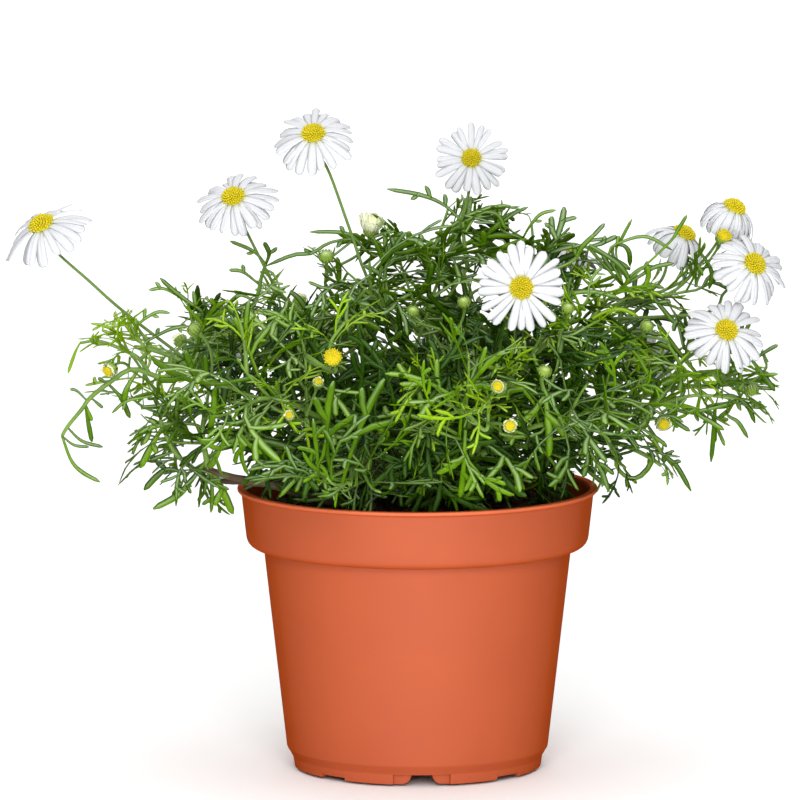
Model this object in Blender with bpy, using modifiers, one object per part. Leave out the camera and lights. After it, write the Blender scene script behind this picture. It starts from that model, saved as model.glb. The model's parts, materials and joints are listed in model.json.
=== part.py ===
"""A swan river daisy in a plastic pot 12 cm across: pot, compost, crown, boughs, leaves and daisies.

Blender 4.5 script in metres, +Z up, with the origin under the middle of the pot. +X is the right of the
plant as it is seen from the front, and +Y is its back. Places on the plant are given as an azimuth
(0 at +X, 90 at +Y), a reach from the pot's axis and a height above the ground.
"""

import math
import random

import bmesh
import bpy
import numpy as np
from mathutils import Matrix, Vector
from mathutils.bvhtree import BVHTree

MM = 0.001
CLEAR = 0.3 * MM
MERGE = 0.05 * MM
WELD = 0.01 * MM
GOLDEN_ANGLE = math.radians(137.5)
UP = Vector((0.0, 0.0, 1.0))

# The pot, turned: a lip over a tall band, a tapering body and a foot ring with eight notches.
TURN_STEPS = 32
LIP_RADIUS = 60.0 * MM
LIP_HEIGHT = 1.4 * MM
POT_HEIGHT = 94.4 * MM
BAND_TOP_RADIUS = 58.3 * MM
BAND_FOOT_RADIUS = 56.3 * MM
BAND_FOOT = 74.4 * MM
BAND_ROUNDING = 3.0 * MM
BODY_TOP_RADIUS = 50.5 * MM
BODY_FOOT_RADIUS = 43.5 * MM
BODY_FOOT = 8.2 * MM
RING_TOP_RADIUS = 41.9 * MM
RING_TOP = 5.8 * MM
RING_FOOT_RADIUS = 40.8 * MM
RING_WALL = 2.2 * MM
WALL = 1.3 * MM
UNDERSIDE = 3.4 * MM
FLOOR_TOP = 4.8 * MM
PAD_RADIUS = 9.0 * MM
NOTCH_TURN = math.radians(2.0)
BIG_NOTCH_WIDTH = 19.0 * MM
BIG_NOTCH_DEPTH = 1.1 * MM
BIG_GATE_TOP = 7.0 * MM
BIG_GATE_FOOT = 13.0 * MM
SMALL_NOTCH_WIDTH = 12.0 * MM
SMALL_NOTCH_HEIGHT = 2.4 * MM
DRAIN_RADIUS = 2.6 * MM
DRAIN_REACH = 27.0 * MM
CUT_PAST = 1.0 * MM

# The compost fills the pot to a little below the rim and is flat under the crown.
SOIL_EDGE = 86.0 * MM
SOIL_CROWN = 88.0 * MM
SOIL_FLAT_RADIUS = 9.0 * MM

# The crown is the short woody stem that all the boughs come from.
CROWN_HEIGHT = 12.0 * MM
CROWN_FLARE_RADIUS = 6.5 * MM
CROWN_TOP_RADIUS = 4.9 * MM
CROWN_LEAN = 0.8 * MM
CROWN_SIDES = 12
CROWN_RINGS = 6
HEART_TIER = 0.25
SIDE_TIER = 0.55
TOP_TIER_OFFSET = 2.65 * MM
BOUGH_FOOT_RADIUS = 2.1 * MM
BOUGH_TIP_RADIUS = 1.8 * MM
BOUGH_SIDES = 6
STEM_RADIUS = 1.3 * MM
STEM_TIP_RADIUS = 1.0 * MM
STEMS_APART = 1.85 * MM
SQUARE_START = 1.5 * MM
ROUTE_POINTS = 6
BOUGH_PULL = 0.35
BOUGH_ARRIVES = (0.6, 0.45)
STEM_ONWARD, STEM_APART = 0.25, 0.08
STEM_ARRIVES = (0.3, 0.16)

# Bough: azimuth in degrees, reach and height of its tip in mm, and whether it leaves the crown's top.
BOUGHS = {
    "bough_left": (183, 52, 113, False),
    "bough_front_left": (240, 38, 110, False),
    "bough_front_right": (300, 38, 110, False),
    "bough_right": (354, 48, 110, False),
    "bough_back_right": (60, 38, 112, False),
    "bough_back_left": (122, 38, 112, False),
    "bough_top_left": (165, 26, 128, True),
    "bough_top": (285, 9, 132, True),
    "bough_top_right": (15, 30, 126, True),
}

# The foliage keeps within a rounded box about its middle.
FOLIAGE_MIDDLE = 118.0 * MM
FOLIAGE_REACH = Vector((120.0, 112.0, 0.0)) * MM
FOLIAGE_RISE = 77.0 * MM
FOLIAGE_DROP = 33.0 * MM
FOLIAGE_SQUARENESS = 2.6

# Mass: its bough, or the crown, and the azimuth in degrees, reach and height in mm of its stem's tip.
MASSES = {
    "leaves_left_droop": ("bough_left", 179, 104, 118),
    "leaves_left_high": ("bough_left", 184, 94, 142),
    "leaves_left_skirt": ("bough_left", 199, 82, 105),
    "leaves_front_left": ("bough_front_left", 229, 80, 132),
    "leaves_front_low": ("bough_front_left", 254, 80, 106),
    "leaves_front_right": ("bough_front_right", 309, 84, 124),
    "leaves_front_middle": ("bough_front_right", 281, 76, 130),
    "leaves_right_brow": ("bough_front_right", 316, 60, 148),
    "leaves_right_tip": ("bough_right", 358, 100, 128),
    "leaves_right_low": ("bough_right", 343, 84, 105),
    "leaves_back_right": ("bough_back_right", 48, 88, 134),
    "leaves_back_middle": ("bough_back_right", 80, 84, 128),
    "leaves_back_left": ("bough_back_left", 132, 88, 136),
    "leaves_back_low": ("bough_back_left", 108, 86, 106),
    "leaves_top_left": ("bough_top_left", 172, 50, 160),
    "leaves_left_shoulder": ("bough_top_left", 170, 78, 150),
    "leaves_top_middle": ("bough_top", 80, 22, 168),
    "leaves_top_front": ("bough_top", 232, 30, 164),
    "leaves_top_right": ("bough_top_right", 22, 44, 164),
    "leaves_right_high": ("bough_top_right", 8, 82, 158),
    "leaves_heart_left": ("crown", 212, 50, 112),
    "leaves_heart_front": ("crown", 270, 46, 114),
    "leaves_heart_right": ("crown", 328, 50, 112),
    "leaves_heart_back": ("crown", 91, 46, 116),
}

# Daisy: its mass, how far up that mass's stem the stalk leaves it, the head's azimuth, reach and height,
# the way the head faces as an azimuth and a rise in degrees, how far the rays hang down in degrees at
# their tips, and the head's size against a full one.
DAISIES = {
    "daisy_far_left": ("leaves_left_high", 0.45, 183, 125, 184, 227, 56, 34, 1.12),
    "daisy_left": ("leaves_top_left", 0.55, 182, 61, 192, 255, 40, 34, 0.98),
    "daisy_tallest": ("leaves_top_front", 0.35, 190, 35, 214, 262, 36, 30, 1.0),
    "daisy_top": ("leaves_top_middle", 0.55, 48, 27, 202, 268, 26, 14, 0.86),
    "daisy_front": ("leaves_right_brow", 0.45, 300, 70, 169, 271, 4, 6, 1.0),
    "daisy_behind_right": ("leaves_right_high", 0.40, 16, 93, 176, 330, 58, 62, 0.98),
    "daisy_top_right": ("leaves_right_high", 0.75, 3, 106, 188, 325, 60, 84, 0.95),
    "daisy_right": ("leaves_right_high", 0.60, 354, 113, 170, 300, 32, 34, 1.0),
    "daisy_right_low": ("leaves_right_tip", 0.45, 346, 106, 150, 286, 36, 32, 1.0),
    "daisy_hidden": ("leaves_top_right", 0.50, 35, 61, 169, 80, 55, 20, 0.9),
    "daisy_back_right": ("leaves_back_right", 0.55, 47, 116, 128, 50, 25, 24, 0.96),
    "daisy_back": ("leaves_back_middle", 0.55, 84, 112, 124, 95, 20, 18, 1.0),
    "daisy_back_left": ("leaves_back_left", 0.55, 127, 116, 130, 135, 30, 30, 0.98),
}
STALK_RADIUS = 0.9 * MM
STALK_LEAVES = (0.8, 0.4)
STALK_PULLS = (0.2, 0.1, 0.3)
DISC_RADIUS = 4.0 * MM
DISC_HEIGHT = 2.2 * MM
RAY_LENGTH = 10.4 * MM
RAY_RISE = math.radians(12)
RAY_BENDS_MORE = 1.35
RAY_BENDS_EARLY = 0.8
RAY_STEPS = 12
RAY_COUNT = 8
RAY_PARTING = 0.5
RAYS_START = 1.2
CUP_RADIUS = 3.3 * MM
CUP_EDGE = 1.3 * MM
HEAD_DEPTH = 2.8 * MM

# Leaves: a narrow stalk and midrib that parts into narrow lobes, thickest where they part.
LEAF_STALK = 16.0 * MM
LEAF_THICKNESS = 1.2 * MM
LEAF_ROOT_HALF_WIDTH = 0.38 * MM
LEAF_ROOT_DEPTH = 0.45 * MM
LEAF_SUNK = 0.25 * MM
LOBE_NOTCH = 3.8 * MM
LOBE_DIP = 0.14
LEAF_ANGLES = (28.0, 62.0)
LEAF_LIFTS = (-0.1, 0.35)
LEAF_SIZES = (0.8, 1.08)
LEAF_ROLL = 0.6
SMALL_LEAF = 0.75
MOST_LEAVES = 10

# Twigs: they leave a mass's stem by the golden angle, shorter towards its tip.
TWIG_LENGTH = 15.0 * MM
TWIG_RADIUS = 1.2 * MM
TWIG_TIP_RADIUS = 0.9 * MM
TWIG_ANGLE = math.radians(52)
TWIG_LIFT = 0.2
TWIG_SHARES = (0.2, 0.51, 0.82)
TWIG_SIZES = (0.8, 1.2)
TWIG_AT_FOOT, TWIG_SHORTENS = 1.15, 0.4

# A twig, leaf or stalk that would leave its space or come too near another piece is tried again elsewhere.
TRIES = 16
TWIG_TRY_TURN = 0.8
LEAF_TRY_TURN = 0.9
STALK_TRY_SHARE = 0.03
STALK_TRY_TURN = 0.3
SPACE_MARGIN = 1.2 * MM
ROOM = Vector((1.03, 1.2, 1.7))
NO_ROOM = Vector((1.0, 1.0, 1.0))

# Leaf shape: the angle of each lobe from the midrib in degrees, and its length in millimetres.
LEAF_SHAPES = {
    "leaf_five": ((-76, 12.0), (-37, 17.0), (-3, 20.0), (30, 18.0), (68, 13.0)),
    "leaf_four": ((-58, 14.0), (-20, 18.5), (14, 20.0), (52, 15.5)),
    "leaf_uneven": ((-84, 10.0), (-45, 15.5), (-12, 19.0), (22, 20.0), (57, 14.5)),
}


def place(azimuth, reach, height):
    """The point at an azimuth in degrees, and a reach and a height in millimetres."""
    a = math.radians(azimuth)
    return Vector((reach * math.cos(a), reach * math.sin(a), height)) * MM


def way(azimuth, rise):
    """The unit vector at an azimuth and a rise above the horizon, both in degrees."""
    a, e = math.radians(azimuth), math.radians(rise)
    return Vector((math.cos(a) * math.cos(e), math.sin(a) * math.cos(e), math.sin(e)))


def bezier(a, b, c, d, count):
    """Points along the cubic curve from a to d that is pulled towards b and then c."""
    points = []
    for t in np.linspace(0.0, 1.0, count):
        s = 1.0 - t
        points.append(a * s**3 + b * 3 * s * s * t + c * 3 * s * t * t + d * t**3)
    return points


def along(points, share):
    """The point and the direction at a share of the way along a line of points."""
    place_on = share * (len(points) - 1)
    first = min(int(place_on), len(points) - 2)
    step = points[first + 1] - points[first]
    return points[first] + step * (place_on - first), step.normalized()


def clear_scene():
    """Removes whatever the file opened with."""
    for obj in list(bpy.data.objects):
        bpy.data.objects.remove(obj)


def make_material(name, colour, roughness):
    """A Principled material with a plain colour, given as linear red, green and blue."""
    material = bpy.data.materials.new(name)
    material.use_nodes = True
    shader = material.node_tree.nodes["Principled BSDF"]
    shader.inputs["Base Color"].default_value = (*colour, 1.0)
    shader.inputs["Roughness"].default_value = roughness
    shader.inputs["Metallic"].default_value = 0.0
    return material


def add_object(name, data, collection):
    """An object for some data, linked into a collection."""
    obj = bpy.data.objects.new(name, data)
    collection.objects.link(obj)
    return obj


def set_apart(obj):
    """Marks a cutter or a guide, which isn't part of the plant."""
    obj.hide_render = True
    obj.display_type = "WIRE"


def baked(obj, collection, weld=True):
    """A mesh object in place of one shaped by a curve or by modifiers, with its seams welded."""
    bpy.context.view_layer.update()
    evaluated = obj.evaluated_get(bpy.context.evaluated_depsgraph_get())
    mesh = bpy.data.meshes.new_from_object(evaluated)
    if weld:
        edit = bmesh.new()
        edit.from_mesh(mesh)
        bmesh.ops.remove_doubles(edit, verts=edit.verts, dist=WELD)
        bmesh.ops.recalc_face_normals(edit, faces=edit.faces)
        edit.to_mesh(mesh)
        edit.free()
    name, matrix = obj.name, obj.matrix_world.copy()
    bpy.data.objects.remove(obj)
    made = add_object(name, mesh, collection)
    made.matrix_world = matrix
    return made


def turned(name, profile, collection, steps=TURN_STEPS):
    """A solid turned about Z from (radius, height) points that run down its outer side."""
    mesh = bpy.data.meshes.new(name)
    points = [(radius, 0.0, height) for radius, height in profile]
    mesh.from_pydata(points, [(i, i + 1) for i in range(len(points) - 1)], [])
    obj = add_object(name, mesh, collection)
    screw = obj.modifiers.new("Turn", "SCREW")
    screw.steps = screw.render_steps = steps
    screw.use_merge_vertices = True
    screw.merge_threshold = MERGE
    screw.use_normal_calculate = True
    return baked(obj, collection)


def tube(name, points, radii, collection, section=None, sides=BOUGH_SIDES):
    """A tapering tube with filled ends: round with some sides, or with the outline of a section curve."""
    curve = bpy.data.curves.new(name, "CURVE")
    curve.dimensions = "3D"
    curve.use_fill_caps = True
    if section is None:
        curve.bevel_resolution = sides // 2 - 2
        curve.bevel_depth = 1.0
    else:
        curve.bevel_mode = "OBJECT"
        curve.bevel_object = section
    spline = curve.splines.new("POLY")
    spline.points.add(len(points) - 1)
    for point, where, radius in zip(spline.points, points, radii):
        point.co = (*where, 1.0)
        point.radius = radius
    return baked(add_object(name, curve, collection), collection)


def triangle_section(collection):
    """The three-cornered outline of a twig, one metre in radius, that a point's radius scales."""
    curve = bpy.data.curves.new("twig_section", "CURVE")
    curve.dimensions = "2D"
    spline = curve.splines.new("POLY")
    spline.points.add(2)
    for k, point in enumerate(spline.points):
        angle = -math.tau * k / 3
        point.co = (math.cos(angle), math.sin(angle), 0.0, 1.0)
    spline.use_cyclic_u = True
    section = add_object("twig_section", curve, collection)
    set_apart(section)
    return section


def block(name, size, matrix, collection):
    """A cutter box of a size, turned by a matrix, whose foot goes past the ground and whose top is level."""
    mesh = bpy.data.meshes.new(name)
    edit = bmesh.new()
    width, depth, height = size
    lift = Matrix.Translation((0.0, 0.0, (height - CUT_PAST) / 2))
    scale = Matrix.Diagonal((width, depth, height + CUT_PAST, 1.0))
    bmesh.ops.create_cube(edit, size=1.0, matrix=matrix @ lift @ scale)
    edit.to_mesh(mesh)
    edit.free()
    cutter = add_object(name, mesh, collection)
    set_apart(cutter)
    return cutter


def drain_cutter(name, matrix, collection):
    """A round cutter through the pot's floor."""
    mesh = bpy.data.meshes.new(name)
    edit = bmesh.new()
    bmesh.ops.create_cone(
        edit, cap_ends=True, segments=8, radius1=DRAIN_RADIUS, radius2=DRAIN_RADIUS, depth=2 * FLOOR_TOP,
        matrix=matrix @ Matrix.Translation((0.0, -DRAIN_REACH, FLOOR_TOP)),
    )
    edit.to_mesh(mesh)
    edit.free()
    cutter = add_object(name, mesh, collection)
    set_apart(cutter)
    return cutter


def cut(obj, cutter):
    """Takes a cutter's shape out of an object with a modifier."""
    boolean = obj.modifiers.new(cutter.name, "BOOLEAN")
    boolean.operation = "DIFFERENCE"
    boolean.object = cutter


def pot_profile():
    """The pot's outline from the floor's middle up the inside, over the lip and down the outside."""
    slope = (BODY_TOP_RADIUS - BODY_FOOT_RADIUS) / (BAND_FOOT - BODY_FOOT)
    inside_foot = BODY_FOOT_RADIUS - WALL - slope * (BODY_FOOT - FLOOR_TOP)
    ledge = BAND_FOOT + WALL
    return [
        (0.0, FLOOR_TOP),
        (inside_foot, FLOOR_TOP),
        (BODY_TOP_RADIUS - WALL, ledge),
        (BAND_FOOT_RADIUS - WALL, ledge + 0.6 * MM),
        (BAND_TOP_RADIUS - WALL, POT_HEIGHT),
        (LIP_RADIUS - 0.3 * MM, POT_HEIGHT),
        (LIP_RADIUS, POT_HEIGHT - LIP_HEIGHT),
        (BAND_TOP_RADIUS, POT_HEIGHT - 1.3 * LIP_HEIGHT),
        (BAND_FOOT_RADIUS, BAND_FOOT + BAND_ROUNDING),
        (BAND_FOOT_RADIUS - BAND_ROUNDING, BAND_FOOT),
        (BODY_TOP_RADIUS, BAND_FOOT - 0.2 * MM),
        (BODY_FOOT_RADIUS, BODY_FOOT),
        (RING_TOP_RADIUS, RING_TOP),
        (RING_FOOT_RADIUS, 0.0),
        (RING_FOOT_RADIUS - RING_WALL, 0.0),
        (RING_FOOT_RADIUS - RING_WALL, UNDERSIDE),
        (PAD_RADIUS + 1.0 * MM, UNDERSIDE),
        (PAD_RADIUS, 0.0),
        (0.0, 0.0),
    ]


def gate_cutter(name, turn, collection):
    """A gate through the foot ring that is wider at the ground than at its top."""
    outline = [
        (-BIG_GATE_FOOT / 2, -CUT_PAST),
        (BIG_GATE_FOOT / 2, -CUT_PAST),
        (BIG_GATE_TOP / 2 + 1.0 * MM, 0.6 * UNDERSIDE),
        (BIG_GATE_TOP / 2, UNDERSIDE),
        (-BIG_GATE_TOP / 2, UNDERSIDE),
        (-BIG_GATE_TOP / 2 - 1.0 * MM, 0.6 * UNDERSIDE),
    ]
    curve = bpy.data.curves.new(name, "CURVE")
    curve.dimensions = "2D"
    curve.fill_mode = "BOTH"
    curve.extrude = 3 * RING_WALL
    spline = curve.splines.new("POLY")
    spline.points.add(len(outline) - 1)
    for point, (x, y) in zip(spline.points, outline):
        point.co = (x, y, 0.0, 1.0)
    spline.use_cyclic_u = True
    gate = add_object(name, curve, collection)
    stand = Matrix.Rotation(math.pi / 2, 4, "X")
    out = Matrix.Translation((0.0, -RING_FOOT_RADIUS, 0.0))
    gate.matrix_world = Matrix.Rotation(turn, 4, "Z") @ out @ stand
    gate = baked(gate, collection)
    set_apart(gate)
    return gate


def build_pot(parts, cutters, material):
    """The pot: a turned shell with four stepped notches, four small ones and four drain holes."""
    pot = turned("pot", pot_profile(), parts)
    for k in range(4):
        turn = NOTCH_TURN + k * math.pi / 2
        spin = Matrix.Rotation(turn, 4, "Z")
        outward = Matrix.Translation((0.0, BIG_NOTCH_DEPTH - RING_FOOT_RADIUS - RING_WALL, 0.0))
        size = (BIG_NOTCH_WIDTH, 2 * RING_WALL, UNDERSIDE)
        cut(pot, block(f"notch_step_{k}", size, spin @ outward, cutters))
        cut(pot, gate_cutter(f"notch_gate_{k}", turn, cutters))
        spin = Matrix.Rotation(turn + math.pi / 4, 4, "Z")
        outward = Matrix.Translation((0.0, -RING_FOOT_RADIUS, 0.0))
        size = (SMALL_NOTCH_WIDTH, 4 * RING_WALL, SMALL_NOTCH_HEIGHT)
        cut(pot, block(f"notch_small_{k}", size, spin @ outward, cutters))
        cut(pot, drain_cutter(f"drain_{k}", spin, cutters))
    pot.data.materials.append(material)
    pot.data.shade_smooth()
    pot.data.set_sharp_from_angle(angle=math.radians(30))


def build_soil(parts, material):
    """The compost: turned to the pot's inside, less a small gap, with a gently domed top."""
    slope = (BODY_TOP_RADIUS - BODY_FOOT_RADIUS) / (BAND_FOOT - BODY_FOOT)
    foot = BODY_FOOT_RADIUS - WALL - slope * (BODY_FOOT - FLOOR_TOP)
    ledge = BAND_FOOT + WALL + 0.6 * MM
    rise = (SOIL_EDGE - ledge) / (POT_HEIGHT - LIP_HEIGHT - ledge)
    edge = BAND_FOOT_RADIUS + rise * (BAND_TOP_RADIUS - BAND_FOOT_RADIUS) - WALL
    profile = [
        (0.0, SOIL_CROWN),
        (SOIL_FLAT_RADIUS, SOIL_CROWN),
        (edge - 1.5 * CLEAR, SOIL_EDGE),
        (BAND_FOOT_RADIUS - WALL - 1.5 * CLEAR, ledge + 1.5 * CLEAR),
        (BODY_TOP_RADIUS - WALL - 1.5 * CLEAR, ledge + 1.0 * CLEAR),
        (foot - 1.5 * CLEAR, FLOOR_TOP + CLEAR),
        (0.0, FLOOR_TOP + CLEAR),
    ]
    soil = turned("compost", profile, parts)
    soil.data.materials.append(material)


def crown_radius(share):
    """The crown's radius at a share of its height, flared towards its foot."""
    return CROWN_TOP_RADIUS + (CROWN_FLARE_RADIUS - CROWN_TOP_RADIUS) * (1.0 - share) ** 2.5


def crown_middle(share):
    """The middle of the crown at a share of its height: it leans in between two level ends."""
    lean = CROWN_LEAN * share * share * (3.0 - 2.0 * share)
    return Vector((lean, 0.0, SOIL_CROWN + CLEAR + CROWN_HEIGHT * share))


def build_crown(parts, material):
    """The woody crown, flared at its flat foot on the compost."""
    shares = np.linspace(0.0, 1.0, CROWN_RINGS)
    points = [crown_middle(share) for share in shares]
    crown = tube("crown", points, [crown_radius(share) for share in shares], parts, sides=CROWN_SIDES)
    crown.data.materials.append(material)


def crown_side(azimuth, share):
    """A point just clear of the crown's side."""
    return crown_middle(share) + way(azimuth, 0) * (crown_radius(share) + 1.5 * CLEAR)


def bough_routes():
    """Each bough's line: square out of the crown's side or top, and on to its tip."""
    routes = {}
    for name, (azimuth, reach, height, from_top) in BOUGHS.items():
        tip = place(azimuth, reach, height)
        if from_top:
            third = 30 + 120 * round((azimuth - 30) / 120)
            start = crown_middle(1.0) + way(third, 0) * TOP_TIER_OFFSET + UP * 1.5 * CLEAR
            leave = UP
        else:
            start = crown_side(azimuth, SIDE_TIER)
            leave = way(azimuth, 4)
        span = (tip - start).length
        arrive = (tip - start).normalized() * BOUGH_ARRIVES[0] + UP * BOUGH_ARRIVES[1]
        pull = BOUGH_PULL * span
        points = bezier(start, start + leave * pull, tip - arrive * pull, tip, ROUTE_POINTS)
        points.insert(1, start + leave * SQUARE_START)
        routes[name] = points
    return routes


def side_of(direction, spread):
    """The unit vector at right angles to a direction that is nearest to a spread."""
    return (spread - direction * spread.dot(direction)).normalized()


def mass_routes(boughs):
    """Each mass's stem: off the crown or its bough's tip, clear of its neighbours, and on to its own tip."""
    routes = {}
    for name, (bough, azimuth, reach, height) in MASSES.items():
        tip = place(azimuth, reach, height)
        if bough == "crown":
            direction, apart = way(azimuth, 8), UP
            start = crown_side(azimuth, HEART_TIER)
        else:
            end, direction = along(boughs[bough], 1.0)
            siblings = [place(*row[1:]) for row in MASSES.values() if row[0] == bough]
            apart = side_of(direction, tip - sum(siblings, Vector()) / len(siblings))
            start = end + direction * CLEAR + apart * STEMS_APART
        span = (tip - start).length
        turn = start + (direction * STEM_ONWARD + apart * STEM_APART) * span
        arrive = (tip - start) * STEM_ARRIVES[0] - UP * STEM_ARRIVES[1] * span
        points = bezier(start, turn, tip - arrive, tip, ROUTE_POINTS)
        points.insert(1, start + direction * SQUARE_START)
        routes[name] = points
    return routes


def ray_arc(distance, droop):
    """How far out and down a ray has come after a distance, bending evenly to its droop at the tip."""
    full_turn = math.radians(droop) * RAY_BENDS_MORE + RAY_RISE
    out = down = 0.0
    for k in range(RAY_STEPS):
        share = distance * (k + 0.5) / RAY_STEPS / RAY_LENGTH
        angle = full_turn * share**RAY_BENDS_EARLY - RAY_RISE
        out += math.cos(angle) * distance / RAY_STEPS
        down += math.sin(angle) * distance / RAY_STEPS
    return out, down


def daisy_head(name, size, droop, collection):
    """A head turned about Z, with disc, rays and cup, whose edge is then parted into rays."""
    out, down = ray_arc(RAY_LENGTH, droop)
    tip = DISC_RADIUS + out
    profile = [
        (0.0, DISC_HEIGHT * size),
        (DISC_RADIUS * size, 0.3 * MM),
        (tip * size, -down * size),
        (CUP_RADIUS * size, -CUP_EDGE * size),
        (0.0, -HEAD_DEPTH * size),
    ]
    head = turned(name, profile, collection, 3 * RAY_COUNT)
    out, down = ray_arc(RAY_PARTING * RAY_LENGTH, droop)
    parting = (DISC_RADIUS + out) / tip
    for vertex in head.data.vertices:
        radius = math.hypot(vertex.co.x, vertex.co.y)
        corner = round(math.atan2(vertex.co.y, vertex.co.x) / math.tau * 3 * RAY_COUNT) % 3
        if radius > RAYS_START * DISC_RADIUS * size and corner == 0:
            vertex.co = Vector((vertex.co.x * parting, vertex.co.y * parting, -down * size))
    return head


def fused(base, collection, parts):
    """One solid of a base and every object of a collection, which are then removed."""
    union = base.modifiers.new("Fuse", "BOOLEAN")
    union.operation = "UNION"
    union.operand_type = "COLLECTION"
    union.collection = collection
    union.solver = "MANIFOLD"
    whole = baked(base, parts, weld=False)
    for obj in list(collection.objects):
        bpy.data.objects.remove(obj)
    keep_largest_piece(whole.data)
    return whole


def keep_largest_piece(mesh):
    """Drops the loose scraps that a union leaves."""
    edit = bmesh.new()
    edit.from_mesh(mesh)
    left = set(edit.verts)
    pieces = []
    while left:
        piece, edge = set(), [next(iter(left))]
        while edge:
            vert = edge.pop()
            if vert in piece:
                continue
            piece.add(vert)
            edge.extend(e.other_vert(vert) for e in vert.link_edges)
        pieces.append(piece)
        left -= piece
    keep = max(pieces, key=len)
    bmesh.ops.delete(edit, geom=[v for v in edit.verts if v not in keep], context="VERTS")
    edit.to_mesh(mesh)
    edit.free()


def tree_of(obj):
    """A search tree of an object's faces in world space."""
    points = [obj.matrix_world @ v.co for v in obj.data.vertices]
    return BVHTree.FromPolygons(points, [tuple(p.vertices) for p in obj.data.polygons])


def stalk_route(top, facing, stem, stem_tree, share, turn):
    """A daisy's stalk: square off its mass's stem at a share of its length, and up to the head's back."""
    foot, stem_way = along(stem, share)
    leave = side_of(stem_way, (top - foot).normalized() * STALK_LEAVES[0] + UP * STALK_LEAVES[1])
    leave = Matrix.Rotation(turn, 3, stem_way) @ leave
    surface = stem_tree.ray_cast(foot + leave * 2 * STEM_RADIUS, -leave)[0]
    start = surface + leave * 1.3 * CLEAR
    out, up, back = (pull * (top - start).length for pull in STALK_PULLS)
    points = bezier(start, start + leave * out + UP * up, top - facing * back, top, ROUTE_POINTS)
    points.insert(1, start + leave * SQUARE_START)
    return points


def build_daisy(name, routes, stems, section, obstacles, parts, workshop, material):
    """A daisy: its stalk, where it is clear of the limbs, with the head and its green cup fused on."""
    mass, first_share, azimuth, reach, height, face, rise, droop, size = DAISIES[name]
    head, facing = place(azimuth, reach, height), way(face, rise)
    top = head - facing * 0.6 * HEAD_DEPTH * size
    stem_tree = tree_of(stems[mass])
    bloom = daisy_head(f"{name}_head", size, droop, workshop)
    bloom.matrix_world = Matrix.Translation(head) @ facing.to_track_quat("Z", "Y").to_matrix().to_4x4()
    for attempt in range(TRIES):
        step = ((attempt + 1) // 2) * (-1) ** attempt
        share, turn = first_share + STALK_TRY_SHARE * step, STALK_TRY_TURN * step
        points = stalk_route(top, facing, routes[mass], stem_tree, share, turn)
        wide = tube(f"{name}_test", points, [STALK_RADIUS + 0.5 * CLEAR] * len(points), workshop, section)
        clear = not any(tree_of(wide).overlap(tree) for tree in obstacles)
        bpy.data.objects.remove(wide)
        if clear:
            break
    stalk = tube(name, points, [STALK_RADIUS] * len(points), parts, section)
    daisy = fused(stalk, workshop, parts)
    daisy.data.materials.clear()
    daisy.data.materials.append(material)
    return daisy


def make_leaf(name, lobes):
    """A leaf along +X that thins to its edges and to its lobes' tips, as a fan above and a fan below.

    The lobes part at the end of the stalk, where the two fans have their middles. Its root has a keel
    below, so that the stalk is solid where it is sunk.
    """
    middle = Vector((LEAF_STALK, 0.0, 0.0))
    edge = [Vector((-LEAF_SUNK, -LEAF_ROOT_HALF_WIDTH, 0.0))]
    angles = [-115.0] + [angle for angle, _ in lobes] + [115.0]
    for k, (angle, length) in enumerate(lobes):
        notch = math.radians((angles[k] + angles[k + 1]) / 2)
        edge.append(middle + Vector((math.cos(notch), math.sin(notch), 0.0)) * LOBE_NOTCH)
        turn = math.radians(angle)
        edge.append(middle + Vector((math.cos(turn), math.sin(turn), -LOBE_DIP)) * length * MM)
    notch = math.radians((angles[-2] + angles[-1]) / 2)
    edge.append(middle + Vector((math.cos(notch), math.sin(notch), 0.0)) * LOBE_NOTCH)
    edge.append(Vector((-LEAF_SUNK, LEAF_ROOT_HALF_WIDTH, 0.0)))
    edit = bmesh.new()
    rim = [edit.verts.new(point) for point in edge]
    keel = edit.verts.new(Vector((-LEAF_SUNK, 0.0, -LEAF_ROOT_DEPTH)))
    upper, lower = (edit.verts.new(middle + UP * (side * LEAF_THICKNESS / 2)) for side in (1, -1))
    for before, after in zip(rim, rim[1:] + rim[:1]):
        edit.faces.new([before, after, upper])
    for before, after in zip([*rim, keel], [*rim[1:], keel, rim[0]]):
        edit.faces.new([after, before, lower])
    edit.faces.new([rim[0], rim[-1], keel])
    bmesh.ops.recalc_face_normals(edit, faces=edit.faces)
    mesh = bpy.data.meshes.new(name)
    edit.to_mesh(mesh)
    edit.free()
    return mesh


def touches(mesh, matrix, trees, room=ROOM):
    """Whether a mesh that is placed by a matrix and widened to leave some room cuts any of the trees."""
    wider = matrix @ Matrix.Diagonal((*room, 1.0))
    points = [wider @ v.co for v in mesh.vertices]
    tested = BVHTree.FromPolygons(points, [tuple(p.vertices) for p in mesh.polygons])
    return any(tested.overlap(tree) for tree in trees)


def in_foliage(spots):
    """Whether each of an array of points lies in the rounded box that the foliage fills."""
    height = spots[:, 2] - FOLIAGE_MIDDLE
    shares = np.stack([
        spots[:, 0] / FOLIAGE_REACH.x,
        spots[:, 1] / FOLIAGE_REACH.y,
        height / np.where(height > 0.0, FOLIAGE_RISE, FOLIAGE_DROP),
    ])
    return (np.abs(shares) ** FOLIAGE_SQUARENESS).sum(axis=0) < 1.0


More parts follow.
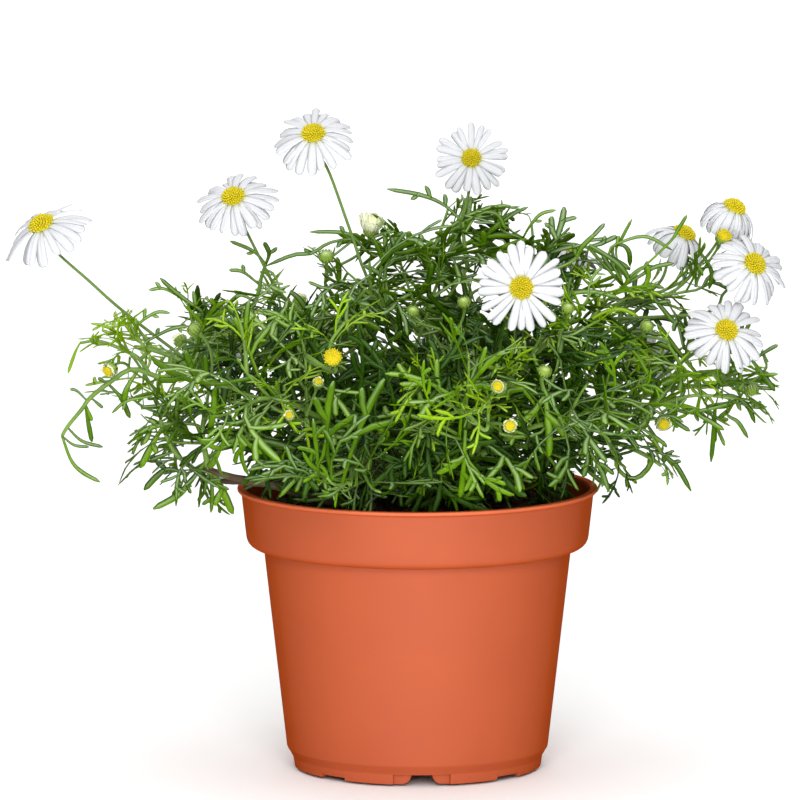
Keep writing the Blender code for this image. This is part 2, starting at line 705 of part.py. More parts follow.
class Spaces:
    """Which mass a point belongs to: the one whose stem is nearest."""

    def __init__(self, stems):
        self.names = list(stems)
        self.lines = []
        for points in stems.values():
            line = [along(points, share)[0] for share in np.linspace(0.0, 1.0, 24)]
            self.lines.append(np.array([tuple(p) for p in line]))

    def holds(self, name, points):
        """Whether all the points are nearer to this mass's stem than to any other, by a margin."""
        spots = np.array([tuple(p) for p in points])
        if not in_foliage(spots).all():
            return False
        reach = np.stack([
            np.linalg.norm(spots[:, None, :] - line[None, :, :], axis=2).min(axis=1) for line in self.lines
        ])
        own = self.names.index(name)
        others = np.delete(reach, own, axis=0).min(axis=0)
        return bool((reach[own] + SPACE_MARGIN < others).all())


def grow_direction(base_way, angle, turn, lift):
    """A direction at an angle from a base one, turned about it, and then lifted towards the sky."""
    start = side_of(base_way, Vector((0.31, 0.17, 1.0)))
    side = Matrix.Rotation(turn, 3, base_way) @ start
    return (base_way * math.cos(angle) + side * math.sin(angle) + UP * lift).normalized()


def leaf_matrix(root, direction, roll):
    """A leaf's place: its root, its length along a direction, and its face towards the sky but for a roll."""
    face = side_of(direction, UP + Vector((0.02, 0.01, 0.0)))
    face = Matrix.Rotation(roll, 3, direction) @ face
    across = face.cross(direction)
    turn = Matrix((direction, across, face)).transposed().to_4x4()
    return Matrix.Translation(root) @ turn


def grow_twigs(name, points, spaces, obstacles, section, workshop, random_source):
    """A mass's twigs, as objects, and the lines that they follow."""
    lines = []
    for k, share in enumerate(TWIG_SHARES):
        foot, stem_way = along(points, share)
        for attempt in range(TRIES):
            turn = GOLDEN_ANGLE * (k + 1) + TWIG_TRY_TURN * attempt
            direction = grow_direction(stem_way, TWIG_ANGLE, turn, TWIG_LIFT)
            length = TWIG_LENGTH * random_source.uniform(*TWIG_SIZES) * (TWIG_AT_FOOT - TWIG_SHORTENS * share)
            line = [foot, foot + direction * length]
            if not spaces.holds(name, line[1:]):
                continue
            twig = tube(f"{name}_twig", line, [TWIG_RADIUS, TWIG_TIP_RADIUS], workshop, section)
            if not any(tree_of(twig).overlap(tree) for tree in obstacles):
                lines.append(line)
                break
            bpy.data.objects.remove(twig)
    return lines


def grow_leaf(name, mesh, bearer, turn, spaces, obstacles, leaf_trees, workshop, random_source):
    """A leaf somewhere on a stretch of a stem or twig, where it has room; adds its tree to the leaf trees."""
    line, stretch = bearer
    for attempt in range(TRIES):
        root, bearer_way = along(line, random_source.uniform(*stretch))
        angle = math.radians(random_source.uniform(*LEAF_ANGLES))
        lift = random_source.uniform(*LEAF_LIFTS)
        direction = grow_direction(bearer_way, angle, turn + LEAF_TRY_TURN * attempt, lift)
        size = random_source.uniform(*LEAF_SIZES) * (1.0 if attempt < TRIES / 2 else SMALL_LEAF)
        matrix = leaf_matrix(root, direction, random_source.uniform(-LEAF_ROLL, LEAF_ROLL))
        matrix = matrix @ Matrix.Diagonal((size, size, 1.0, 1.0))
        parting = matrix @ Vector((LEAF_STALK, 0.0, 0.0))
        corners = [matrix @ v.co for v in mesh.vertices if v.co.x > 0.0]
        middles = [(corner + parting) / 2 for corner in corners]
        if not spaces.holds(name, [*corners, *middles, parting, (parting + root) / 2]):
            continue
        if touches(mesh, matrix, obstacles) or touches(mesh, matrix, leaf_trees, NO_ROOM):
            continue
        leaf = add_object(f"{name}_leaf", mesh, workshop)
        leaf.matrix_world = matrix
        leaf_trees.append(tree_of(leaf))
        return


def build_mass(stem, points, spaces, obstacles, leaf_meshes, section, parts, workshop, material):
    """A mass: twigs off its stem, and leaves off the stem's end and middle and off the twigs, fused."""
    name = stem.name
    random_source = random.Random(name)
    bearers = [(points, (0.86, 0.98)), (points, (0.2, 0.45)), (points, (0.5, 0.75))]
    for line in grow_twigs(name, points, spaces, obstacles, section, workshop, random_source):
        bearers += [(line, (0.9, 1.0)), (line, (0.45, 0.6))]
    leaf_trees = []
    for number, bearer in enumerate(bearers):
        for extra in range(1 if number % 2 else 2):
            if len(leaf_trees) < MOST_LEAVES:
                mesh = leaf_meshes[(number + extra) % len(leaf_meshes)]
                turn = GOLDEN_ANGLE * (2 * number + extra)
                grow_leaf(name, mesh, bearer, turn, spaces, obstacles, leaf_trees, workshop, random_source)
    mass = fused(stem, workshop, parts)
    mass.data.materials.clear()
    mass.data.materials.append(material)


def main():
    clear_scene()
    parts = bpy.data.collections.new("potted_swan_river_daisy")
    cutters = bpy.data.collections.new("cutters")
    workshop = bpy.data.collections.new("workshop")
    for collection in (parts, cutters, workshop):
        bpy.context.scene.collection.children.link(collection)
    terracotta = make_material("pot_plastic", (0.63, 0.13, 0.04), 0.5)
    compost = make_material("compost", (0.03, 0.018, 0.01), 0.95)
    wood = make_material("stem_green", (0.13, 0.2, 0.04), 0.6)
    green = make_material("leaf_green", (0.08, 0.19, 0.03), 0.5)
    white = make_material("ray_white", (0.82, 0.83, 0.87), 0.6)
    section = triangle_section(cutters)
    build_pot(parts, cutters, terracotta)
    build_soil(parts, compost)
    build_crown(parts, wood)
    boughs = bough_routes()
    for name, points in boughs.items():
        radii = np.linspace(BOUGH_FOOT_RADIUS, BOUGH_TIP_RADIUS, len(points))
        bough = tube(name, points, radii, parts)
        bough.data.materials.append(wood)
    obstacles = [tree_of(obj) for obj in parts.objects if obj.name != "pot"]
    depsgraph = bpy.context.evaluated_depsgraph_get()
    obstacles.append(BVHTree.FromObject(parts.objects["pot"], depsgraph))
    routes = mass_routes(boughs)
    stems = {}
    for name, points in routes.items():
        radii = np.linspace(STEM_RADIUS, STEM_TIP_RADIUS, len(points))
        stems[name] = tube(name, points, radii, parts, section)
    limbs = obstacles + [tree_of(stem) for stem in stems.values()]
    for name in DAISIES:
        daisy = tree_of(build_daisy(name, routes, stems, section, limbs, parts, workshop, white))
        obstacles.append(daisy)
        limbs.append(daisy)
    spaces = Spaces(routes)
    leaf_meshes = [make_leaf(name, lobes) for name, lobes in LEAF_SHAPES.items()]
    for name, points in routes.items():
        build_mass(stems[name], points, spaces, obstacles, leaf_meshes, section, parts, workshop, green)


main()
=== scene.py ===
"""Looks of the potted swan river daisy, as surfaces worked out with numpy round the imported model.

The plant is grown in millimetres with +Z up, the pot's underside middle at the origin, +X the plant's right and
+Y its back, and put into meshes in metres. It grows by the same rule as the solids: boughs from the crown, a stem
for each mass of leaves, twigs turned 137.5 degrees on from each other, and leaves within a rounded box.
"""

import json
import math

import bpy
import numpy as np
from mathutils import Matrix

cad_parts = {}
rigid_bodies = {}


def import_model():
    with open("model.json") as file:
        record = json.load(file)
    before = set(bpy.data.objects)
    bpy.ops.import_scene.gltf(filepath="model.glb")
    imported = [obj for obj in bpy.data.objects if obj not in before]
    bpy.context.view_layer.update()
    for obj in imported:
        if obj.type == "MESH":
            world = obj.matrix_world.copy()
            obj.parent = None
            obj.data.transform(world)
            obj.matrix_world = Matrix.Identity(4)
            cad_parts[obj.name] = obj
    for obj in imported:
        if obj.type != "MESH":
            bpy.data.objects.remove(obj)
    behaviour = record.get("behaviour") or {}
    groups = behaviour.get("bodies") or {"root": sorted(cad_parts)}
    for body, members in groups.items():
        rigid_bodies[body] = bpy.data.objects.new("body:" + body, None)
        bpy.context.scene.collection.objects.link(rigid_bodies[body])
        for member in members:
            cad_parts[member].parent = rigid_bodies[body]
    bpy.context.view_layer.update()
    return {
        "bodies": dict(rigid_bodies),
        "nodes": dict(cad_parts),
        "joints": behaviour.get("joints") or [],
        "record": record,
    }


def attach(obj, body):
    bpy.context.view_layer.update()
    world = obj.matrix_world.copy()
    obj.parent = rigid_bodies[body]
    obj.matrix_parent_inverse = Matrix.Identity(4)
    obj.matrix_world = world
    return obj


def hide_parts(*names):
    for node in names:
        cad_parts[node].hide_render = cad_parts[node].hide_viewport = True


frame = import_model()

MM = 0.001
UP = np.array([0.0, 0.0, 1.0])
GOLDEN_ANGLE = math.radians(137.5)

# The camera: its height above the horizon, its distance, what it looks at, and pixels to a unit slope.
CAMERA_RISE = math.radians(7.82)
CAMERA_DISTANCE = 3000.0
CAMERA_AIM = (-5.81, 0.0, 123.4)
CAMERA_PIXELS = 9019.0
SENSOR_WIDTH = 36.0
PICTURE_SIDE = 800.0

# The pot's outline in millimetres, as in the solid.
LIP_RADIUS, POT_HEIGHT, LIP_HEIGHT = 60.0, 94.4, 1.1
BAND_TOP_RADIUS, BAND_FOOT_RADIUS, BAND_FOOT = 58.7, 56.7, 74.8
BODY_TOP_RADIUS, BODY_FOOT_RADIUS, BODY_FOOT = 51.3, 43.6, 7.3
RING_TOP_RADIUS, RING_TOP, RING_FOOT_RADIUS, RING_WALL = 41.9, 5.0, 41.4, 2.4
WALL, UNDERSIDE, FLOOR_TOP, PAD_RADIUS = 1.3, 4.2, 5.2, 9.0
NOTCH_TURN = math.radians(2.0)
BIG_NOTCH_HALF, BIG_NOTCH_DEPTH, GATE_HALF, LOBE_RADIUS = 9.5, 1.1, 3.5, 3.4
SMALL_NOTCH_HALF, SMALL_NOTCH_HEIGHT = 5.4, 1.8
DRAIN_RADIUS, DRAIN_REACH = 2.6, 27.0

# Compost and crown.
SOIL_EDGE, SOIL_CROWN, SOIL_FLAT_RADIUS = 86.0, 88.0, 9.0
CROWN_HEIGHT, CROWN_FLARE_RADIUS, CROWN_TOP_RADIUS, CROWN_LEAN = 12.0, 6.5, 4.9, 0.8
HEART_TIER, SIDE_TIER, TOP_TIER_OFFSET = 0.25, 0.55, 2.65

# The foliage's middle height, its reach to the sides and to the front and back, and how square it is; and how high
# and how low it comes at places across the plant, from its left to its right.
FOLIAGE_MIDDLE = 118.0
FOLIAGE_REACH = (120.0, 112.0)
FOLIAGE_SQUARENESS = 2.6
TOP_LINE = ((-119, 134), (-108, 148), (-86, 162), (-66, 168), (-39, 174), (-22, 180), (-6, 191), (21, 189),
            (44, 187), (61, 182), (77, 183), (94, 184), (107, 168), (119, 134))
FOOT_LINE = ((-119, 108), (-105, 99), (-88, 94), (-72, 85), (52, 85), (62, 92), (74, 98), (86, 100), (97, 106),
             (108, 112), (119, 117))

# Bough: azimuth in degrees, reach and height of its tip, and whether it leaves the crown's top.
BOUGHS = {
    "left": (183, 52, 113, False),
    "front_left": (240, 38, 110, False),
    "front_right": (300, 38, 110, False),
    "right": (354, 48, 110, False),
    "back_right": (60, 38, 112, False),
    "back_left": (122, 38, 112, False),
    "top_left": (165, 26, 128, True),
    "top": (285, 9, 132, True),
    "top_right": (15, 30, 126, True),
}

# Mass: its bough, or the crown, and the azimuth, reach and height of its stem's tip.
MASSES = {
    "left_droop": ("left", 179, 104, 118),
    "left_high": ("left", 184, 94, 142),
    "left_skirt": ("left", 199, 82, 105),
    "front_left": ("front_left", 229, 80, 132),
    "front_low": ("front_left", 254, 80, 106),
    "front_right": ("front_right", 309, 84, 124),
    "front_middle": ("front_right", 281, 76, 130),
    "right_brow": ("front_right", 316, 60, 148),
    "right_tip": ("right", 358, 100, 128),
    "right_low": ("right", 343, 84, 105),
    "back_right": ("back_right", 48, 88, 134),
    "back_middle": ("back_right", 80, 84, 128),
    "back_left": ("back_left", 132, 88, 136),
    "back_low": ("back_left", 108, 86, 106),
    "top_left": ("top_left", 172, 50, 160),
    "left_shoulder": ("top_left", 170, 78, 150),
    "top_middle": ("top", 80, 22, 168),
    "top_front": ("top", 232, 30, 164),
    "top_right": ("top_right", 22, 44, 164),
    "right_high": ("top_right", 8, 82, 158),
    "heart_left": ("crown", 212, 50, 112),
    "heart_front": ("crown", 270, 46, 114),
    "heart_right": ("crown", 328, 50, 112),
    "heart_back": ("crown", 91, 46, 116),
}

# Daisy: its mass, the share of that stem where its stalk leaves, its head's azimuth, reach and height, the way
# it faces as an azimuth and a rise, how far its rays hang at their tips in degrees, and its size.
DAISIES = {
    "far_left": ("left_high", 0.45, 183, 124.6, 182.9, 227, 56, 34, 1.12),
    "left": ("top_left", 0.55, 182, 61, 191.6, 255, 47, 32, 1.0),
    "tallest": ("top_front", 0.35, 190, 35, 213.0, 262, 44, 30, 1.0),
    "top": ("top_middle", 0.55, 48, 27, 202, 268, 26, 14, 0.86),
    "front": ("right_brow", 0.45, 299.1, 69.3, 168.6, 271, 4, 6, 1.0),
    "behind_right": ("right_high", 0.40, 16, 93, 176, 330, 58, 56, 1.0),
    "top_right": ("right_high", 0.75, 3, 105.5, 187.2, 325, 60, 72, 1.0),
    "right": ("right_high", 0.60, 354, 112, 170.4, 300, 32, 34, 1.0),
    "right_low": ("right_tip", 0.45, 346, 104.8, 150, 286, 36, 32, 1.0),
    "hidden": ("top_right", 0.50, 35, 61, 169, 80, 78, 40, 0.9),
    "back_right": ("back_right", 0.55, 47, 116, 128, 50, 25, 24, 0.96),
    "back": ("back_middle", 0.55, 84, 112, 124, 95, 20, 18, 1.0),
    "back_left": ("back_left", 0.55, 127, 116, 130, 135, 30, 30, 0.98),
}
STALK_RADIUS = 0.56
DISC_RADIUS, DISC_HEIGHT, FLORET_COUNT = 3.6, 2.0, 96
RAY_LENGTH, RAY_HALF_WIDTH, RAY_RISE = 10.7, 1.65, math.radians(12)
CUP_RADIUS, CUP_DEPTH = 3.4, 3.2

# Daisies' stalks on their way up, as the camera sees them in the 800-pixel picture.
STALK_ROUTES = {
    "far_left": ((128, 315), (88, 280)),
    "left": ((278, 290), (262, 262)),
    "tallest": ((369, 281), (350, 230), (329, 172)),
    "top": ((463, 216),),
    "front": ((500, 345), (513, 312)),
    "behind_right": ((650, 292), (668, 262)),
    "top_right": ((672, 292), (702, 262), (716, 244)),
    "right": ((704, 313), (724, 293)),
    "right_low": ((668, 372), (700, 350)),
}

# Bud: where the camera sees it, its depth y, its radius, how open it is (0 closed, 1 disc in a fringe of short
# rays, 2 rays up, 3 disc alone), and the way it faces as an azimuth and a rise.
BUDS = (
    (371, 231, 5, 2.4, 2, 290, 72),
    (326, 256, -34, 2.4, 0, 270, 60),
    (333, 359, -72, 2.9, 3, 268, 30),
    (318, 383, -72, 1.8, 1, 280, 40),
    (110, 369, -22, 2.5, 1, 236, -22),
    (194, 329, -34, 2.3, 0, 200, 40),
    (413, 311, -44, 1.9, 0, 280, 50),
    (464, 302, -42, 2.0, 0, 260, 60),
    (497, 387, -84, 2.3, 1, 280, 20),
    (510, 426, -86, 2.3, 1, 270, 10),
    (545, 371, -78, 2.1, 0, 290, 40),
    (568, 308, -54, 2.0, 0, 300, 60),
    (290, 416, -74, 1.7, 1, 250, 25),
    (647, 326, -40, 2.1, 0, 310, 40),
    (663, 423, -40, 2.6, 1, 280, -10),
    (723, 238, -4, 2.5, 3, 300, 50),
    (752, 391, -12, 2.1, 0, 300, -60),
    (300, 300, 98, 2.4, 1, 100, 60),
    (520, 260, 92, 2.4, 1, 80, 40),
    (640, 330, 84, 2.2, 0, 50, 30),
    (180, 340, 80, 2.3, 1, 130, 35),
    (420, 330, 106, 2.2, 0, 90, 20),
)

# Stem that shows in the picture: its depth, its foot's and tip's radius, the kind of its leaves (0 for none) and
# its course.
SEEN_STEMS = (
    (-12, 0.95, 0, ((165, 378), (133, 369), (109, 383), (90, 398), (82, 409), (68, 426), (62, 436))),
    (-10, 0.8, 3, ((150, 372), (138, 358), (119, 348), (98, 341), (80, 343))),
    (-14, 0.7, 3, ((146, 352), (136, 335), (128, 320))),
    (14, 0.8, 0, ((250, 322), (256, 300), (262, 275), (266, 264))),
    (-60, 0.8, 3, ((250, 372), (245, 345), (240, 322))),
    (-64, 0.8, 3, ((335, 372), (330, 345), (345, 322))),
    (-70, 0.8, 3, ((486, 430), (490, 400), (505, 378))),
    (-26, 0.9, 3, ((619, 428), (659, 398), (679, 368), (668, 344))),
    (-20, 0.8, 2, ((640, 412), (690, 396), (735, 398))),
    (-6, 0.8, 2, ((700, 372), (735, 380), (758, 384))),
    (8, 0.8, 2, ((463, 262), (464, 240), (463, 222))),
    (-28, 1.1, 2, ((207, 469), (206, 456), (203, 441), (203, 424), (207, 404))),
    (-22, 0.95, 1, ((203, 476), (190, 466), (177, 455), (168, 440), (160, 420))),
)

# Old stem that leans out over the rim at the left: its depth, its radius and its course.
OLD_STEMS = (
    (-28, 1.35, ((372, 506), (330, 502), (290, 491), (262, 482), (236, 478), (218, 473), (205, 468))),
    (-22, 1.05, ((262, 484), (240, 482), (222, 481), (202, 476))),
)

# Leaf that shows in the picture: its kind, its depth, its width, its course, and its lobes (how far along, side,
# length).
SEEN_LEAVES = (
    (2, -12, 1.7, ((65, 444), (71, 460), (82, 472), (100, 482)), ()),
    (1, -12, 1.3, ((63, 437), (74, 445), (89, 447)), ()),
    (1, -12, 1.5, ((69, 429), (82, 441), (103, 447)), ()),
    (1, -12, 1.7, ((84, 402), (88, 421), (92, 442)), ()),
    (2, -12, 1.4, ((87, 404), (92, 421)), ()),
    (1, -12, 1.3, ((83, 397), (77, 391), (70, 389)), ()),
    (1, -12, 1.3, ((89, 399), (103, 408)), ()),
    (1, -12, 1.9, ((110, 381), (121, 398), (130, 418)), ()),
    (1, -12, 1.5, ((108, 383), (98, 378)), ()),
    (2, -14, 2.2, ((134, 367), (127, 388), (124, 402)), ()),
    (2, -16, 1.3, ((155, 394), (127, 401), (112, 413)), ((0.7, 1, 3.0),)),
    (1, -20, 1.5, ((170, 404), (156, 406), (141, 407)), ((0.55, 1, 5.0), (0.5, -1, 3.5))),
    (2, -22, 2.2, ((192, 424), (168, 424), (147, 429), (132, 441)), ((0.72, 1, 7.0), (0.6, -1, 4.0))),
    (2, -22, 2.5, ((160, 428), (152, 445), (140, 468)), ((0.5, 1, 3.5),)),
    (1, -20, 1.9, ((172, 452), (150, 460)), ()),
    (1, -18, 2.5, ((190, 476), (168, 469), (157, 476), (144, 490)), ((0.35, -1, 5.0),)),
    (2, -26, 2.7, ((206, 460), (193, 478), (178, 495), (153, 509)), ()),
    (2, -28, 2.7, ((207, 461), (221, 487), (233, 514)), ((0.55, -1, 6.0),)),
    (2, -30, 2.2, ((206, 458), (224, 447), (241, 439), (256, 421)), ((0.35, 1, 7.0),)),
    (1, -8, 1.8, ((203, 313), (186, 300), (172, 289), (160, 278)), ((0.35, -1, 5.5),)),
    (2, -8, 1.5, ((182, 297), (165, 289), (149, 290)), ((0.6, -1, 3.0),)),
    (2, -10, 1.5, ((134, 328), (146, 318), (158, 312), (170, 313)), ((0.5, 1, 4.0), (0.62, -1, 3.0), (0.3, 1, 3.0))),
    (1, -10, 1.6, ((149, 340), (171, 329), (189, 326)), ((0.5, 1, 3.0),)),
    (3, -10, 1.2, ((80, 343), (75, 353), (68, 373)), ()),
    (2, -45, 2.4, ((216, 388), (214, 407), (209, 438)), ()),
    (1, 40, 2.2, ((240, 352), (222, 344), (204, 346), (192, 353)), ((0.5, 1, 6.0), (0.6, -1, 5.0))),
    (1, 36, 2.2, ((246, 366), (228, 358), (212, 362), (200, 372)), ((0.45, -1, 6.0), (0.65, 1, 5.0))),
    (1, 44, 2.0, ((232, 380), (220, 368), (214, 352), (212, 336)), ((0.5, 1, 6.0), (0.7, -1, 4.0))),
    (1, -40, 1.8, ((206, 384), (206, 368), (205, 355)), ()),
    (1, 10, 1.9, ((464, 222), (444, 205), (421, 195), (387, 189)), ((0.3, -1, 4.5), (0.55, -1, 5.0), (0.72, 1, 3.5))),
    (1, 0, 1.7, ((374, 256), (352, 236), (335, 232), (310, 232)), ((0.62, -1, 3.0),)),
    (1, 6, 1.7, ((352, 240), (329, 243), (312, 253), (293, 255), (266, 266)), ((0.65, -1, 3.0), (0.3, 1, 3.5))),
    (2, 14, 1.6, ((266, 264), (253, 251), (230, 241)), ((0.45, 1, 3.0),)),
    (1, 14, 1.8, ((267, 264), (269, 253), (264, 242)), ((0.5, -1, 3.5),)),
    (2, 14, 1.6, ((257, 284), (243, 272), (229, 270)), ((0.5, -1, 3.0),)),
    (2, 14, 1.8, ((255, 303), (241, 295), (229, 303)), ()),
    (2, 6, 1.4, ((476, 216), (486, 212), (498, 215), (506, 230)), ()),
    (1, 8, 1.5, ((500, 228), (512, 215), (528, 207)), ((0.5, -1, 3.0),)),
    (2, 6, 1.5, ((530, 226), (541, 214), (556, 210)), ((0.5, -1, 3.0),)),
    (1, 0, 1.4, ((372, 240), (382, 234), (396, 231)), ()),
    (1, -8, 1.9, ((340, 285), (339, 270), (337, 257)), ()),
    (2, 0, 2.0, ((571, 262), (582, 247), (595, 234)), ((0.45, 1, 4.5),)),
    (1, -4, 2.2, ((588, 246), (609, 257), (622, 268), (630, 282)), ()),
    (2, 4, 1.2, ((616, 252), (622, 238), (632, 219)), ()),
    (2, 2, 1.5, ((609, 252), (627, 240), (648, 237), (672, 250)), ((0.35, 1, 3.0),)),
    (2, -4, 1.4, ((668, 244), (679, 228), (687, 215)), ()),
    (1, 2, 1.6, ((696, 252), (707, 262), (712, 275), (709, 289)), ()),
    (1, 0, 1.6, ((756, 358), (770, 349), (778, 345)), ()),
    (1, -6, 2.2, ((748, 358), (761, 372), (775, 391)), ()),
    (2, -6, 1.4, ((742, 372), (760, 374), (778, 374)), ()),
    (1, -6, 1.7, ((722, 384), (748, 386), (775, 389)), ()),
    (1, -12, 1.8, ((718, 394), (734, 396), (748, 407), (755, 423)), ((0.55, -1, 5.0),)),
    (1, -14, 1.7, ((715, 410), (714, 430), (711, 462)), ()),
    (2, -16, 1.5, ((687, 411), (708, 409), (732, 403)), ()),
    (2, -16, 2.1, ((698, 413), (710, 421), (724, 430)), ((0.25, -1, 5.0),)),
    (1, -12, 1.6, ((727, 414), (738, 422), (748, 438)), ()),
    (1, -18, 1.9, ((671, 417), (679, 424), (690, 431)), ()),
    (2, -22, 2.0, ((607, 438), (616, 453), (617, 467), (627, 477), (639, 477), (651, 463), (647, 452)), ()),
    (1, -18, 1.9, ((658, 450), (669, 459), (678, 468), (691, 491)), ((0.4, -1, 3.0), (0.35, 1, 3.0), (0.6, 1, 3.0))),
    (1, -22, 1.9, ((585, 464), (598, 479), (617, 490)), ((0.35, 1, 4.5),)),
    (2, -30, 1.9, ((592, 426), (607, 431), (619, 440)), ()),
    (2, -30, 1.7, ((590, 425), (605, 405), (619, 380)), ()),
    (2, -30, 1.7, ((592, 429), (586, 446), (578, 463)), ()),
    (1, 52, 2.2, ((600, 348), (620, 336), (640, 331), (662, 336)), ((0.45, 1, 6.0), (0.65, -1, 5.0))),
    (1, 48, 2.2, ((604, 368), (628, 353), (648, 351), (668, 362)), ((0.5, -1, 6.0), (0.7, 1, 4.0))),
    (1, 56, 2.1, ((628, 388), (637, 366), (643, 345), (646, 324)), ((0.4, 1, 6.0), (0.6, -1, 5.0))),
    (1, 50, 2.1, ((598, 328), (615, 345), (632, 362), (654, 372)), ((0.5, 1, 5.0),)),
    (1, 60, 2.3, ((606, 356), (626, 346), (646, 344), (664, 350)), ((0.4, -1, 6.0), (0.6, 1, 7.0))),
    (0, 58, 2.3, ((610, 382), (630, 374), (648, 368), (664, 370)), ((0.5, 1, 7.0), (0.65, -1, 6.0))),
    (1, 54, 2.2, ((604, 332), (622, 322), (640, 320), (656, 326)), ((0.5, 1, 6.0), (0.65, -1, 4.0))),
    (1, 46, 2.2, ((252, 372), (238, 366), (226, 358), (216, 346)), ((0.4, 1, 6.0), (0.6, -1, 6.0))),
    (0, 42, 2.2, ((246, 384), (234, 374), (226, 362), (224, 348)), ((0.5, -1, 5.0), (0.7, 1, 4.0))),
    (2, -10, 2.0, ((556, 300), (574, 293), (596, 292), (619, 298)), ()),
    (3, -8, 1.9, ((580, 330), (598, 315), (620, 309), (638, 316)), ()),
    (1, -2, 2.0, ((650, 296), (662, 308), (672, 320), (684, 328)), ((0.4, 1, 5.0),)),
    (1, 4, 2.0, ((622, 300), (636, 290), (650, 285), (664, 288)), ((0.5, 1, 6.0), (0.6, -1, 5.0))),
    (1, 10, 2.0, ((628, 316), (644, 304), (656, 301), (670, 306)), ((0.45, -1, 6.0),)),
    (0, 12, 2.0, ((630, 330), (646, 320), (662, 318), (678, 322)), ((0.5, 1, 5.0), (0.6, -1, 4.0))),
    (1, -2, 1.9, ((630, 292), (640, 276), (655, 267), (674, 263)), ((0.5, 1, 4.0),)),
    (2, -4, 1.8, ((640, 292), (648, 278), (648, 266)), ((0.5, -1, 4.0),)),
    (1, 0, 1.8, ((626, 284), (634, 273), (646, 267), (658, 268)), ()),
    (1, 6, 1.8, ((612, 250), (622, 245), (629, 252), (630, 266)), ()),
    (1, 20, 2.2, ((314, 330), (308, 314), (300, 300), (290, 291)), ((0.5, 1, 5.0), (0.5, -1, 5.0))),
)

# Gap where the picture shows sky, or the pot's inside, through the crown: its middle and its radius in pixels.
GAPS = (
    (389, 207, 15), (425, 214, 14), (405, 223, 9), (304, 271, 15), (284, 266, 7), (322, 279, 6), (351, 270, 10),
    (346, 253, 9), (312, 240, 7), (329, 207, 9), (371, 267, 5), (216, 282, 13), (236, 284, 9), (222, 254, 12),
    (238, 232, 10), (247, 261, 9), (254, 272, 6), (249, 288, 5), (193, 297, 5), (148, 300, 9), (168, 302, 8),
    (181, 312, 8), (153, 327, 7), (165, 322, 7), (181, 338, 8), (168, 341, 7), (158, 342, 4), (103, 354, 7),
    (122, 360, 5), (119, 384, 5), (88, 366, 14), (103, 398, 7), (66, 392, 10), (58, 412, 6), (103, 430, 13), (78, 426, 5), (98, 413, 6),
    (100, 462, 15), (80, 456, 8), (135, 426, 9), (135, 411, 6), (148, 401, 4), (156, 449, 6), (142, 475, 7),
    (159, 491, 10), (172, 489, 4), (195, 460, 4), (223, 463, 6), (239, 464, 5), (219, 425, 5), (233, 497, 5),
    (207, 335, 4), (220, 305, 4), (183, 368, 4), (445, 218, 6), (484, 283, 5), (499, 280, 7), (497, 300, 6),
    (515, 320, 4), (525, 264, 6), (521, 231, 6), (527, 253, 4), (550, 278, 6), (551, 294, 5), (540, 218, 5),
    (554, 216, 5), (598, 260, 5), (637, 256, 7), (631, 236, 6), (702, 281, 6), (703, 302, 5), (692, 306, 4),
    (725, 306, 9), (712, 345, 5), (680, 315, 4), (676, 338, 4), (623, 322, 4), (734, 356, 4), (734, 410, 6),
    (746, 422, 5), (690, 447, 15), (670, 438, 9), (686, 420, 4), (643, 461, 5), (633, 467, 7), (624, 459, 5),
    (614, 478, 4), (610, 462, 4), (582, 469, 4), (583, 485, 9), (576, 494, 6), (582, 219, 7),
)

# Low shoots round the crown that hide the compost: how many, and their tips' reach and height.
LOW_SHOOTS, LOW_REACH, LOW_HEIGHT = 14, (36.0, 50.0), (96.0, 104.0)

# Twigs and leaves.
TWIGS_PER_STEM = 8
TWIG_SHARE = ((-90, 0.3), (-50, 0.9), (45, 1.0), (90, 0.45))
TWIG_LENGTH, TWIG_ANGLE, TWIG_LIFT = 27.0, math.radians(50), 0.2
LEAF_SPACING = 3.15
# A twig with more of its ten points than this in gaps is left out.
MOST_IN_GAPS = 2
# Where a leaf is tested for room: the share of the way along it, and aside as a share of its length.
LEAF_TESTS = ((0.3, 0.0), (0.45, 0.0), (0.6, 0.0), (0.8, 0.0), (1.0, 0.0), (0.7, 0.2), (0.7, -0.2))

# Places in the picture, with a radius, where the sprays are young and yellow green.
FRESH_SPOTS = ((102, 328, 32), (245, 318, 26), (340, 325, 34), (285, 395, 28), (410, 258, 30), (506, 374, 40),
               (512, 430, 24), (686, 362, 34), (486, 216, 24))


# Numbers ------------------------------------------------------------------------------------------------


def unit(vectors):
    """Each vector over its own length."""
    return vectors / np.linalg.norm(vectors, axis=-1, keepdims=True)


def place(azimuth, reach, height):
    """The point at an azimuth in degrees: (reach cos a, reach sin a, height)."""
    a = np.radians(azimuth)
    return np.stack([reach * np.cos(a), reach * np.sin(a), height + 0.0 * a], axis=-1)


def way(azimuth, rise):
    """The unit vector at an azimuth and a rise above the horizon in degrees."""
    e = np.radians(rise)
    return place(azimuth, np.cos(e), np.sin(e))


def bezier(a, b, c, d, count):
    """Points a(1-t)^3 + 3bt(1-t)^2 + 3ct^2(1-t) + dt^3 of cubic curves, for one set of ends or many."""
    t = np.linspace(0.0, 1.0, count)[:, None]
    a, b, c, d = (np.asarray(end, float)[..., None, :] for end in (a, b, c, d))
    return a * (1 - t) ** 3 + 3 * b * t * (1 - t) ** 2 + 3 * c * t * t * (1 - t) + d * t**3


def along(paths, shares):
    """Points and directions at shares (n paths, k shares) of the way along paths (n, m, 3), by straight steps."""
    where = shares * (paths.shape[1] - 1)
    first = np.clip(where.astype(int), 0, paths.shape[1] - 2)
    start = np.take_along_axis(paths, first[..., None], axis=1)
    step = np.take_along_axis(paths, first[..., None] + 1, axis=1) - start
    return start + step * (where - first)[..., None], unit(step)


